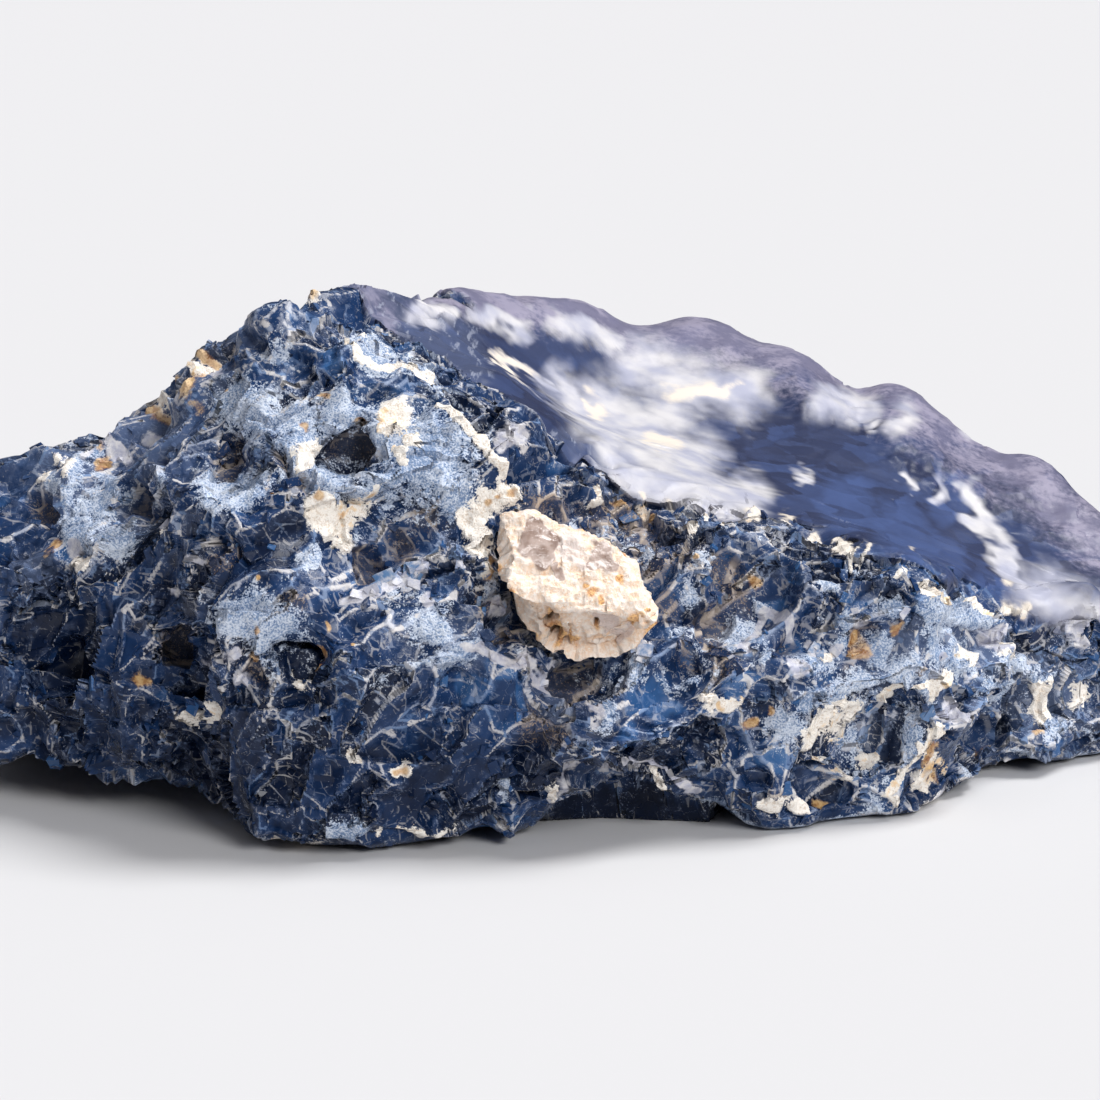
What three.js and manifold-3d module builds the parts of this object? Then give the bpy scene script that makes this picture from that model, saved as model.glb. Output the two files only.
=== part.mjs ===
// A rough, broken piece of blue chalcedony agate with a pale lump of quartz matrix lodged in its front.
// Millimetres, +Z up. X runs along the stone, and +Y runs away from its broken front face.
// The stone is lofted: nine lines run along it, and every cross-section is a closed curve through them.
// Chips, lumps, pits and ledges are then raised or sunk along the surface, and the lump's pocket is cut out.
import * as THREE from "three";
import { ConvexGeometry } from "three/addons/geometries/ConvexGeometry.js";
import { mergeVertices } from "three/addons/utils/BufferGeometryUtils.js";
import Module from "manifold-3d";

// Driving dimensions, in the carving frame: X = 0 and Y = 0 are near the middle of the front foot.
const LEFT_TIP = [-36.5, 17.5, 8.5];
const RIGHT_TIP = [37.5, 26.0, 4.5];
const CAP_LENGTH = 7.0;
const SLICES = 84;
const POCKET_GAP = 0.45;
const CHIP_ROUGHNESS = 0.12;
const REST_LEVEL = 0.35;

// The nine lines, each as [x, y, z] points, in order round the section from the front foot over the top.
const FRONT_FOOT = [
  [-37, 14, 4.0],
  [-33, 12.5, 2.8],
  [-28.7, 9.6, 1.8],
  [-25.5, 8.2, 2.0],
  [-22, 6.6, 2.0],
  [-19.0, 5.2, 1.7],
  [-17.4, 3.0, 0.6],
  [-16.0, 0.8, 0.0],
  [-14, 0.0, 0.0],
  [-11, -0.4, 0.0],
  [-6.5, -0.1, 0.0],
  [-2.5, 0.8, 0.0],
  [-0.6, 2.6, 0.3],
  [0.8, 3.6, 1.9],
  [5.2, 5.2, 2.3],
  [7.4, 5.6, 1.0],
  [9.0, 4.9, 0.0],
  [12, 4.4, 0.0],
  [15.4, 5.0, 0.0],
  [18.1, 7.0, 0.0],
  [21, 9.8, 0.0],
  [24, 13.0, 0.0],
  [29, 16.4, 0.2],
  [34, 20.5, 0.6],
  [38, 24.0, 2.0],
];
const FRONT_WAIST = [
  [-37, 12, 9.0],
  [-29, 8.0, 8.0],
  [-24, 5.0, 8.0],
  [-19.5, 3.4, 8.0],
  [-17, -0.8, 8.0],
  [-12, -2.0, 8.0],
  [-6, -1.6, 7.5],
  [0, -0.4, 6.5],
  [6, 1.6, 5.8],
  [12, 2.6, 5.4],
  [18, 5.0, 5.0],
  [22, 8.6, 4.6],
  [25, 13.0, 4.2],
  [30, 17.5, 3.6],
  [38, 24.0, 3.4],
];
const FRONT_SHOULDER = [
  [-37, 14, 12.5],
  [-29, 10.0, 13.5],
  [-24, 7.0, 14.5],
  [-19.5, 5.2, 16.5],
  [-17, 2.6, 17.0],
  [-12, 1.4, 16.5],
  [-6, 1.4, 15.0],
  [0, 2.8, 13.4],
  [6, 3.6, 11.4],
  [12, 4.6, 10.0],
  [18, 6.6, 8.8],
  [22, 9.6, 7.6],
  [26, 15.0, 6.2],
  [31, 19.5, 5.4],
  [38, 24.6, 4.4],
];
const FRONT_RIDGE = [
  [-37, 16, 12.8],
  [-31, 14.5, 15.5],
  [-28.8, 14.0, 16.3],
  [-25.5, 12.6, 17.9],
  [-22.8, 12.0, 18.3],
  [-20.7, 11.0, 18.3],
  [-18.5, 10.0, 19.2],
  [-17.2, 9.0, 21.0],
  [-15.9, 9.0, 23.4],
  [-14.1, 9.0, 25.0],
  [-12.3, 8.5, 24.9],
  [-10.2, 8.0, 24.5],
  [-7.7, 8.0, 23.5],
  [-5.1, 8.0, 22.5],
  [-2.6, 8.0, 21.7],
  [0, 8.0, 20.1],
  [2.6, 8.0, 18.3],
  [4.6, 8.0, 17.0],
  [7.7, 8.0, 15.9],
  [12.9, 8.0, 14.1],
  [18.1, 9.0, 12.2],
  [20.8, 10.2, 11.2],
  [23.6, 12.8, 9.4],
  [26.6, 17.0, 8.0],
  [31, 21.0, 7.2],
  [38, 25.4, 5.4],
];
const TOP_DISH = [
  [-37, 18, 13.2],
  [-28, 16.0, 16.4],
  [-22, 14.5, 18.8],
  [-18, 13.5, 22.6],
  [-14, 13.0, 24.4],
  [-9, 15.0, 24.4],
  [-3, 23.0, 20.6],
  [2, 24.0, 17.6],
  [8, 25.0, 16.2],
  [14, 25.0, 14.8],
  [20, 24.5, 12.8],
  [26, 25.0, 10.2],
  [32, 25.0, 8.6],
  [38, 26.2, 5.6],
];
const BACK_RIDGE = [
  [-37, 20, 12.8],
  [-33, 21, 13.4],
  [-28.9, 19, 15.5],
  [-25.7, 18, 17.2],
  [-23.2, 17.5, 18.0],
  [-21, 18, 18.8],
  [-19, 18.5, 20.2],
  [-17.6, 18, 21.8],
  [-15.6, 17.5, 23.6],
  [-13, 18, 24.6],
  [-10.5, 19.5, 25.5],
  [-8.6, 23, 24.3],
  [-6.6, 28.5, 23.0],
  [-4.5, 32.5, 22.9],
  [-2.4, 35, 22.0],
  [0, 37, 21.5],
  [2.3, 39, 20.6],
  [4.2, 40, 19.6],
  [8, 41, 20.1],
  [12, 41, 18.5],
  [14.2, 40, 17.9],
  [17, 39, 15.8],
  [19.8, 38, 15.8],
  [22.4, 37, 14.4],
  [24.8, 35, 13.1],
  [27.9, 33, 12.9],
  [30.8, 30, 11.0],
  [34, 28, 8.6],
  [38, 27, 6.0],
];
const BACK_WAIST = [
  [-37, 23, 8.0],
  [-29, 27, 8.5],
  [-20, 29, 10.5],
  [-10, 34, 12.0],
  [0, 44.5, 11.0],
  [10, 47, 9.5],
  [20, 44, 8.0],
  [29, 36.5, 6.0],
  [38, 28, 4.0],
];
const BACK_FOOT = [
  [-37, 22, 4.0],
  [-30, 24, 1.0],
  [-24, 26, 0.0],
  [-10, 32, 0.0],
  [0, 39, 0.0],
  [10, 41.5, 0.0],
  [20, 38.5, 0.0],
  [30, 31, 0.2],
  [38, 27, 2.0],
];
const UNDERSIDE = [
  [-37, 18, 4.0],
  [-29, 16, 2.2],
  [-22, 15, 1.6],
  [-14, 14, 0.6],
  [-6, 16, 0.6],
  [3, 19, 1.8],
  [12, 21, 1.4],
  [22, 23, 0.6],
  [30, 24, 0.8],
  [38, 25.5, 2.0],
];

// The number of steps along the section from each line to the next.
const SECTION = [
  { line: FRONT_FOOT, steps: 6 },
  { line: FRONT_WAIST, steps: 8 },
  { line: FRONT_SHOULDER, steps: 8 },
  { line: FRONT_RIDGE, steps: 7 },
  { line: TOP_DISH, steps: 6 },
  { line: BACK_RIDGE, steps: 6 },
  { line: BACK_WAIST, steps: 5 },
  { line: BACK_FOOT, steps: 4 },
  { line: UNDERSIDE, steps: 4 },
];

// Pits and hollows of the front, each as seen from the front: [x, z], radius and depth.
const PITS = [
  { at: [-10.3, 20.2], radius: 1.3, depth: 2.4 },
  { at: [-16.3, 19.5], radius: 1.3, depth: 1.8 },
  { at: [-14.5, 24.0], radius: 1.6, depth: 1.0 },
  { at: [-19.0, 9.1], radius: 1.5, depth: 2.0 },
  { at: [-12.8, 10.2], radius: 1.1, depth: 1.3 },
  { at: [-9.3, 14.9], radius: 1.4, depth: 0.9 },
  { at: [-22.7, 17.6], radius: 1.8, depth: 1.2 },
  { at: [-25.2, 9.3], radius: 2.2, depth: 1.6 },
  { at: [-4.9, 8.7], radius: 1.6, depth: 0.8 },
  { at: [3.6, 15.5], radius: 2.6, depth: 1.8 },
  { at: [9.6, 12.2], radius: 2.0, depth: 1.4 },
  { at: [1.4, 9.2], radius: 2.2, depth: 1.8 },
  { at: [16.9, 4.8], radius: 1.6, depth: 2.2 },
  { at: [14.5, 2.0], radius: 1.3, depth: 1.6 },
  { at: [24.4, 3.4], radius: 1.9, depth: 2.2 },
  { at: [28.4, 3.4], radius: 1.7, depth: 1.6 },
];

// Lumps that stand proud: the scallops of the back ridge and the swellings of the front and back.
const LUMPS = [
  { at: [-14.6, 0.0, 13.0], radius: 4.5, height: 1.1 },
  { at: [-4.6, 0.0, 11.2], radius: 3.6, height: 0.8 },
  { at: [-22.0, 4.0, 6.0], radius: 4.0, height: 1.0 },
  { at: [-28.6, 8.0, 12.0], radius: 3.4, height: 0.8 },
  { at: [-6.0, 30.0, 23.2], radius: 2.6, height: 0.5 },
  { at: [1.8, 38.5, 20.8], radius: 2.8, height: 0.5 },
  { at: [8.8, 41.0, 19.8], radius: 3.4, height: 0.6 },
  { at: [19.6, 38.0, 16.0], radius: 2.8, height: 0.7 },
  { at: [28.0, 33.0, 12.8], radius: 3.2, height: 0.6 },
  { at: [20.6, 7.0, 2.6], radius: 2.2, height: 1.0 },
  { at: [5.6, 45.0, 12.0], radius: 5.0, height: 1.4 },
  { at: [-8.0, 34.0, 14.0], radius: 4.5, height: 1.2 },
  { at: [18.0, 43.5, 8.0], radius: 4.5, height: 1.2 },
  { at: [-22.0, 28.0, 9.0], radius: 4.5, height: 1.2 },
];

// The lodged lump: its outline facing front as [x, z], the crease across its front, and its depths.
const CHIP_OUTLINE = [
  [-2.2, 16.9],
  [-0.9, 17.2],
  [1.0, 16.4],
  [2.6, 15.8],
  [4.1, 14.8],
  [5.0, 13.9],
  [5.7, 12.4],
  [5.0, 11.4],
  [3.3, 10.0],
  [1.2, 9.6],
  [-0.3, 10.3],
  [-1.8, 12.6],
  [-2.7, 14.2],
];
const CHIP_CREASE = [
  [-1.9, 13.9],
  [0.3, 12.5],
  [2.6, 12.4],
  [4.8, 12.3],
];
const CHIP_FRONT_Y = -1.3;
const CHIP_RIM_Y = 1.5;
const CHIP_BACK_Y = 5.0;
const CHIP_BACK_SHARE = 0.62;

// Chipped texture: two sizes of hollow chips, as cell size and height in millimetres, then the curve of a
// chip's floor, its tilt and how much deeper one chip may be than the next, each as a share of the height.
const COARSE_CELL = 6.0;
const COARSE_HEIGHT = 1.5;
const FINE_CELL = 3.3;
const FINE_HEIGHT = 0.8;
const CHIP_BOWL = 1.5;
const CHIP_TILT = 1.6;
const CHIP_DEPTH_RANGE = 0.4;
const SWELL_SIZE = 9.0;
const SWELL_HEIGHT = 0.55;

// A pit's rim is wider than its floor by this factor.
const PIT_RIM = 1.2;

// A repeatable number from 0 to 1 for a lattice point and a channel.
function hash(i, j, k, channel) {
  let h = Math.imul(i, 374761393) + Math.imul(j, 668265263);
  h = (h + Math.imul(k, 1442695041) + Math.imul(channel, 1013904223)) | 0;
  h = Math.imul(h ^ (h >>> 13), 1274126177);
  h = Math.imul(h ^ (h >>> 16), 668265263);
  return ((h ^ (h >>> 15)) >>> 0) / 4294967296;
}

// Smooth noise from -1 to 1 with features of the given size.
function noise(p, size, channel) {
  const cell = [p.x / size, p.y / size, p.z / size];
  const low = cell.map(Math.floor);
  const part = cell.map((c, a) => {
    const f = c - low[a];
    return f * f * (3 - 2 * f);
  });
  let sum = 0;
  for (let corner = 0; corner < 8; corner++) {
    const bit = [corner & 1, (corner >> 1) & 1, (corner >> 2) & 1];
    const weight = bit.reduce((w, b, a) => w * (b ? part[a] : 1 - part[a]), 1);
    sum += weight * hash(low[0] + bit[0], low[1] + bit[1], low[2] + bit[2], channel);
  }
  return sum * 2 - 1;
}

// The height of the chipped surface at p. Every jittered lattice seed has a tilted bowl, and the lowest
// bowl at p is the one that shows, so hollow chips meet in sharp ridges.
function chipHeight(p, size, channel) {
  const base = [p.x, p.y, p.z].map((c) => Math.floor(c / size));
  let lowest = Infinity;
  for (let n = 0; n < 27; n++) {
    const [i, j, k] = [n % 3, Math.floor(n / 3) % 3, Math.floor(n / 9)].map((s, a) => base[a] + s - 1);
    const seed = [i, j, k].map((c, a) => (c + hash(i, j, k, channel + a)) * size);
    const away = new THREE.Vector3(p.x - seed[0], p.y - seed[1], p.z - seed[2]).divideScalar(size);
    const tilt = new THREE.Vector3(...[3, 4, 5].map((a) => (hash(i, j, k, channel + a) - 0.5) * CHIP_TILT));
    const sunk = hash(i, j, k, channel + 6) * CHIP_DEPTH_RANGE;
    lowest = Math.min(lowest, away.lengthSq() * CHIP_BOWL + away.dot(tilt) - sunk);
  }
  return lowest;
}

// The point of a line at x, on a smooth curve through its points.
function pointOn(line, x) {
  let i = 0;
  while (i < line.length - 2 && x > line[i + 1][0]) i++;
  const slope = (k, axis) => {
    const before = line[Math.max(k - 1, 0)];
    const after = line[Math.min(k + 1, line.length - 1)];
    return (after[axis] - before[axis]) / (after[0] - before[0]);
  };
  const width = line[i + 1][0] - line[i][0];
  const t = THREE.MathUtils.clamp((x - line[i][0]) / width, 0, 1);
  const [y, z] = [1, 2].map((axis) => {
    const rise = (1 - t) * (1 - t) * t * width * slope(i, axis);
    const fall = t * t * (t - 1) * width * slope(i + 1, axis);
    const ease = t * t * (3 - 2 * t);
    return line[i][axis] * (1 - ease) + line[i + 1][axis] * ease + rise + fall;
  });
  return new THREE.Vector3(x, y, z);
}

// How far p lies behind the front ridge, in millimetres.
function behindRidge(p) {
  return p.y - pointOn(FRONT_RIDGE, THREE.MathUtils.clamp(p.x, -36, 37)).y;
}

// How broken the surface is at p: 1 on the broken front and back, little on the worn skin of the top.
function brokenness(p, normal) {
  const { smoothstep } = THREE.MathUtils;
  const worn = smoothstep(behindRidge(p), 0, 4) * smoothstep(normal.z, 0.2, 0.6);
  return 1 - worn * (0.55 + 0.35 * smoothstep(p.x, -14, -6));
}

// How far the surface stands out along its normal at p, from chips, lumps, pits and slow swells.
function relief(p, normal) {
  const broken = brokenness(p, normal);
  let out = SWELL_HEIGHT * noise(p, SWELL_SIZE, 71);
  out += broken * COARSE_HEIGHT * chipHeight(p, COARSE_CELL, 11);
  out += broken * FINE_HEIGHT * chipHeight(p, FINE_CELL, 31);
  for (const { at, radius, height } of LUMPS) {
    const share = p.distanceTo(new THREE.Vector3(...at)) / radius;
    if (share < 1) out += height * (1 - share * share) ** 2;
  }
  if (behindRidge(p) > 2 || normal.y > 0) return out;
  for (const { at, radius, depth } of PITS) {
    const share = Math.hypot(p.x - at[0], p.z - at[1]) / (radius * PIT_RIM);
    if (share < 1) out -= depth * (1 - share ** 4);
  }
  return out;
}

// The closed outline of the section at share u of the length, as an array of points.
function sectionAt(u) {
  const length = RIGHT_TIP[0] - LEFT_TIP[0];
  const x = LEFT_TIP[0] + length * u;
  const fromTip = Math.min(x - LEFT_TIP[0], RIGHT_TIP[0] - x);
  const tip = u < 0.5 ? LEFT_TIP : RIGHT_TIP;
  const open = Math.min(fromTip / CAP_LENGTH, 1);
  const grown = Math.sqrt(1 - (1 - open) ** 2);
  const rim = SECTION.map(({ line }) => {
    const p = pointOn(line, x);
    p.y = tip[1] + (p.y - tip[1]) * grown;
    p.z = tip[2] + (p.z - tip[2]) * grown;
    return p;
  });
  const curve = new THREE.CatmullRomCurve3(rim, true, "catmullrom", 0.42);
  return SECTION.flatMap(({ steps }, i) =>
    Array.from({ length: steps }, (_, s) => curve.getPoint((i + s / steps) / SECTION.length)),
  );
}

// The stone as rings of points from tip to tip. Slices crowd towards the tips as on a sphere.
function stoneGeometry() {
  const rings = [];
  for (let i = 1; i < SLICES; i++) {
    const even = i / SLICES;
    const crowded = 0.5 - 0.5 * Math.cos(Math.PI * even);
    rings.push(sectionAt(THREE.MathUtils.lerp(even, crowded, 0.22)));
  }
  const around = rings[0].length;
  const raised = rings.map((ring, i) =>
    ring.map((p, j) => {
      const along = rings[Math.min(i + 1, rings.length - 1)][j].clone().sub(rings[Math.max(i - 1, 0)][j]);
      const across = ring[(j + 1) % around].clone().sub(ring[(j + around - 1) % around]);
      const normal = along.cross(across).normalize();
      return p.clone().addScaledVector(normal, relief(p, normal));
    }),
  );
  const settle = (p) => {
    if (p.z < REST_LEVEL) p.z = 0;
    return p;
  };
  const points = [new THREE.Vector3(...LEFT_TIP), ...raised.flat().map(settle), new THREE.Vector3(...RIGHT_TIP)];
  const last = points.length - 1;
  const faces = [];
  for (let j = 0; j < around; j++) {
    const next = (j + 1) % around;
    const endRing = 1 + (rings.length - 1) * around;
    faces.push(0, 1 + j, 1 + next, last, endRing + next, endRing + j);
    for (let i = 0; i < rings.length - 1; i++) {
      const a = 1 + i * around;
      const b = a + around;
      faces.push(a + j, b + j, b + next, a + j, b + next, a + next);
    }
  }
  const geometry = new THREE.BufferGeometry().setFromPoints(points);
  geometry.setIndex(faces);
  return geometry;
}

// The lodged lump as a convex hull, grown outwards by the given amount.
function chipHull(grow) {
  const centre = CHIP_OUTLINE.reduce((sum, [x, z]) => sum.add(new THREE.Vector3(x, 0, z)), new THREE.Vector3());
  centre.divideScalar(CHIP_OUTLINE.length).setY((CHIP_RIM_Y + CHIP_BACK_Y) / 2);
  const rim = CHIP_OUTLINE.map(([x, z]) => new THREE.Vector3(x, CHIP_RIM_Y, z));
  const back = CHIP_OUTLINE.map(([x, z]) => new THREE.Vector3(x, CHIP_BACK_Y, z).lerp(
    new THREE.Vector3(centre.x, CHIP_BACK_Y, centre.z), 1 - CHIP_BACK_SHARE));
  const crease = CHIP_CREASE.map(([x, z]) => new THREE.Vector3(x, CHIP_FRONT_Y, z));
  const grown = [...rim, ...back, ...crease].map((p) => {
    const out = p.clone().sub(centre);
    return p.clone().addScaledVector(out.clone().normalize(), grow * 1.3);
  });
  return { geometry: new ConvexGeometry(grown), centre };
}

// The geometry with every triangle split in four, and its corners merged.
function split(geometry) {
  const p = geometry.toNonIndexed ? geometry.attributes.position : null;
  const corner = (i) => new THREE.Vector3().fromBufferAttribute(p, i);
  const out = [];
  for (let i = 0; i < p.count; i += 3) {
    const [a, b, c] = [corner(i), corner(i + 1), corner(i + 2)];
    const [ab, bc, ca] = [a.clone().lerp(b, 0.5), b.clone().lerp(c, 0.5), c.clone().lerp(a, 0.5)];
    out.push(a, ab, ca, ab, b, bc, ca, bc, c, ab, bc, ca);
  }
  return new THREE.BufferGeometry().setFromPoints(out);
}

// The lump with a crumbly surface: its hull is split and its points move in and out from the centre.
function chipGeometry() {
  const { geometry, centre } = chipHull(0);
  const fine = split(split(geometry));
  const p = fine.attributes.position;
  for (let i = 0; i < p.count; i++) {
    const at = new THREE.Vector3().fromBufferAttribute(p, i);
    const out = at.clone().sub(centre).normalize();
    at.addScaledVector(out, CHIP_ROUGHNESS * (noise(at, 1.1, 91) + chipHeight(at, 1.8, 95) - 0.6));
    p.setXYZ(i, at.x, at.y, at.z);
  }
  return fine;
}

const wasm = await Module();
wasm.setup();

// A closed geometry as a solid that can be cut.
function solidOf(geometry) {
  const bare = new THREE.BufferGeometry().setAttribute("position", geometry.attributes.position);
  if (geometry.index) bare.setIndex(geometry.index);
  const merged = mergeVertices(bare, 1e-3);
  return new wasm.Manifold(new wasm.Mesh({
    numProp: 3,
    vertProperties: new Float32Array(merged.attributes.position.array),
    triVerts: new Uint32Array(merged.index.array),
  }));
}

// A cut solid as a geometry again.
function geometryOf(solid) {
  const mesh = solid.getMesh();
  const geometry = new THREE.BufferGeometry();
  geometry.setAttribute("position", new THREE.BufferAttribute(mesh.vertProperties, 3));
  geometry.setIndex(new THREE.BufferAttribute(mesh.triVerts, 1));
  return geometry;
}

const stone = solidOf(stoneGeometry()).subtract(solidOf(chipHull(POCKET_GAP).geometry));

const agate = new THREE.Mesh(
  geometryOf(stone),
  new THREE.MeshStandardMaterial({ color: 0x3a4f7d, roughness: 0.42, metalness: 0 }),
);
agate.name = "agate";

const matrixLump = new THREE.Mesh(
  chipGeometry(),
  new THREE.MeshStandardMaterial({ color: 0xeaddcb, roughness: 0.8, metalness: 0 }),
);
matrixLump.name = "matrix_lump";

// The finished part stands on the ground with the origin under the middle of its bounding box.
const part = new THREE.Group();
part.add(agate, matrixLump);
const box = new THREE.Box3().setFromObject(part);
const middle = box.getCenter(new THREE.Vector3());
for (const piece of [agate, matrixLump]) {
  piece.geometry.translate(-middle.x, -middle.y, -box.min.z);
}

export default part;
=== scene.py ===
"""The looks of a rough, broken piece of blue chalcedony agate with a lump of cream quartz matrix in it.

Shapes are worked out in millimetres and put into meshes in metres. The stone's skin starts as a thin capsule
that is blown outwards onto the CAD solid. It is then smoothed, chipped, pitted and cut into bands.
Markings are soft fields on the skin's points: the front's and the top's come from dabs placed on the
photograph and carried along the camera's rays onto the skin, and everywhere else they come from noise.
"""

import itertools
import math

import bpy
import numpy as np
from mathutils import Matrix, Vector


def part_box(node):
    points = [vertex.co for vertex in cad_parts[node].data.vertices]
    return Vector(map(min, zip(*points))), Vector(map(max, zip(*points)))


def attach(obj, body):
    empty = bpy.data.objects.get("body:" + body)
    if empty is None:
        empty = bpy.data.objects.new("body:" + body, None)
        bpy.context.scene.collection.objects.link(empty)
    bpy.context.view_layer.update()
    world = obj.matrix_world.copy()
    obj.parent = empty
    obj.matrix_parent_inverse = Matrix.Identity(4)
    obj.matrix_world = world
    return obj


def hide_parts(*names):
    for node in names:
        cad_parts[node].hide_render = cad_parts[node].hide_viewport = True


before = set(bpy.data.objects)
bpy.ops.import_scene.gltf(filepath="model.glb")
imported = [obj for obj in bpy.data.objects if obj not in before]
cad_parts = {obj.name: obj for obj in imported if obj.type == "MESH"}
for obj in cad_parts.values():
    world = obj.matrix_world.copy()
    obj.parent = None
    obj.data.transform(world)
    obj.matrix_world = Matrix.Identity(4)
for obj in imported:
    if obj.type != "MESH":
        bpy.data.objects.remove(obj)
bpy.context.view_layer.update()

MM = 0.001

# The camera, in millimetres. The aim point is set against the lodged lump's middle and the ground.
CAMERA_ELEVATION = math.radians(13.0)
CAMERA_DISTANCE = 280.0
PICTURE_WIDTH = 55.0
PHOTO_PIXELS = 1100
SENSOR_WIDTH = 36.0
LUMP_FROM_AIM = (1.5, 1.85)
AIM_HEIGHT = 15.65

# The line inside the stone from which its skin is blown outwards.
SPINE_LEFT = (-30.0, -4.4, 8.2)
SPINE_RIGHT = (31.0, 2.6, 5.0)
SPINE_RADIUS = 0.4

# The front ridge as (x, y) points: what lies behind it is the worn top.
RIDGE = [(-37.6, -6.7), (-31.6, -8.2), (-26.1, -10.1), (-21.3, -11.7), (-16.5, -13.7), (-8.0, -14.7),
         (12.3, -14.7), (17.5, -13.7), (20.2, -12.5), (23.0, -9.9), (26.0, -5.7), (30.4, -1.7), (37.4, 2.7)]

# The same ridge as the photograph shows it, in its pixels. Skin seen below it is broken, if it lies no
# farther behind the ridge than the reach, which is (place along the stone, reach) in millimetres.
SEEN_RIDGE = [(0, 380), (240, 302), (275, 285), (310, 274), (350, 276), (390, 312), (430, 345), (470, 376),
              (510, 406), (550, 438), (600, 473), (640, 494), (700, 510), (760, 535), (800, 545), (850, 562),
              (900, 575), (950, 590), (1000, 620), (1040, 650), (1100, 690)]
SEEN_REACH = [(-18.0, 9.0), (-11.0, 8.0), (-6.0, 5.0), (0.0, 2.5)]

# Left of this, the stone is broken all the way over its shoulder, and the worn top begins within the blend.
# Behind the ridge the border wanders, by noise of this reach and size. All are in millimetres.
LEFT_SHOULDER = -14.0
SHOULDER_BLEND = 4.0
SHOULDER_WANDER = 15.0
WANDER_SIZE = 6.0


def steps(knots, count):
    """Count values that run from the first knot's value to the last one's, spaced by the knots' shares.

    Each knot is (value, share of the steps spent before it), and the spacing changes at the knots.
    """
    values, shares = np.array(knots, float).T
    return np.interp(np.linspace(0, 1, count), np.cumsum(shares) / shares.sum(), values)


# Noise on lattices of random numbers that repeat far outside the stone.
LATTICE = 48


def noise(points, size, seed, octaves=1):
    """Smooth noise from -1 to 1: the eight nearest lattice numbers, blended by an eased share of the cell.

    Every further octave is half the size and half the height.
    """
    table = np.random.default_rng(seed).random(LATTICE ** 3, dtype=np.float32) * 2 - 1
    total = np.zeros(len(points), np.float32)
    for octave in range(octaves):
        place = (points.T * (2 ** octave / size) + octave * 7.3).astype(np.float32)
        low = np.floor(place).astype(np.int32)
        part = place - low
        part = part ** 3 * (part * (part * 6 - 15) + 10)
        x, y, z = [(line % LATTICE, (line + 1) % LATTICE) for line in low]
        planes = []
        for across in x:
            rows = [table[(across * LATTICE + y[0]) * LATTICE + end]
                    + part[1] * (table[(across * LATTICE + y[1]) * LATTICE + end]
                                 - table[(across * LATTICE + y[0]) * LATTICE + end]) for end in z]
            planes.append(rows[0] + part[2] * (rows[1] - rows[0]))
        total += (planes[0] + part[0] * (planes[1] - planes[0])) * 0.5 ** octave
    return total / (2 - 0.5 ** (octaves - 1))


# A chip's walls face these many ways, rise this steeply, and start this far from its middle, in chips.
WALL_COUNT = 7
WALL_SLOPE = 1.9
WALL_START = 0.36


def chips(points, size, seed, tilt=1.6, spread=0.4):
    """Angular chips with flat tilted floors and flat walls, which meet their neighbours in sharp ridges.

    In each cell, height = max(floor tilt . offset, slope * (farthest wall's offset - start)) - depth, and
    the skin follows the lowest cell. Returns the height, the gap up to the next cell's in millimetres,
    which is 0 on ridges, and a random number that is the same all over one chip.
    """
    rng = np.random.default_rng(seed)
    walls = rng.normal(size=(WALL_COUNT, 3))
    walls = (walls / np.linalg.norm(walls, axis=1, keepdims=True)).T.astype(np.float32)
    table = rng.random((LATTICE ** 3, 11), dtype=np.float32)
    place = (points / size).astype(np.float32)
    base = np.floor(place).astype(int)
    lowest = np.full(len(points), 99, np.float32)
    second = lowest.copy()
    owner = np.zeros(len(points), np.float32)
    for offset in itertools.product((-1, 0, 1), repeat=3):
        cell = base + offset
        near = cell % LATTICE
        own = table[(near[:, 0] * LATTICE + near[:, 1]) * LATTICE + near[:, 2]]
        away = place - cell - own[:, 0:3]
        floor = (away * (own[:, 3:6] - 0.5)).sum(1) * tilt
        wall = ((away * (0.7 + own[:, 6:9] * 0.7)) @ walls).max(1)
        height = np.maximum(floor, WALL_SLOPE * (wall - WALL_START)) - own[:, 9] * spread
        nearer = height < lowest
        second = np.where(nearer, lowest, np.minimum(second, height))
        lowest = np.where(nearer, height, lowest)
        owner = np.where(nearer, own[:, 10], owner)
    return lowest, (second - lowest) * size, owner


def ease(value, low, high):
    """Smoothstep: 0 below low, 1 above high, and a smooth S between."""
    share = np.clip((value - low) / (high - low), 0, 1)
    return share * share * (3 - 2 * share)


# The camera's own axes and place, in millimetres.
lump_low, lump_high = np.array(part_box("matrix_lump")) / MM
AIM = np.array([*((lump_low + lump_high)[:2] / 2 - LUMP_FROM_AIM), AIM_HEIGHT])
AHEAD = np.array([0, math.cos(CAMERA_ELEVATION), -math.sin(CAMERA_ELEVATION)])
UPWARD = np.array([0, math.sin(CAMERA_ELEVATION), math.cos(CAMERA_ELEVATION)])
EYE = AIM - AHEAD * CAMERA_DISTANCE


def photo_place(points):
    """Where points lie in the photograph, as pixels across and down."""
    away = points - EYE
    pixels_per_mm = PHOTO_PIXELS / PICTURE_WIDTH * CAMERA_DISTANCE / (away @ AHEAD)
    return PHOTO_PIXELS / 2 + away[:, 0] * pixels_per_mm, PHOTO_PIXELS / 2 - (away @ UPWARD) * pixels_per_mm


def stroke(radius, *corners):
    """Dabs of one radius along a line through corners, half a radius apart."""
    corners = np.array(corners, float)
    lengths = np.r_[0, np.cumsum(np.hypot(*np.diff(corners, axis=0).T))]
    at = np.linspace(0, lengths[-1], max(2, int(lengths[-1] / radius * 2)))
    return [(np.interp(a, lengths, corners[:, 0]), np.interp(a, lengths, corners[:, 1]), radius) for a in at]


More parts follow.
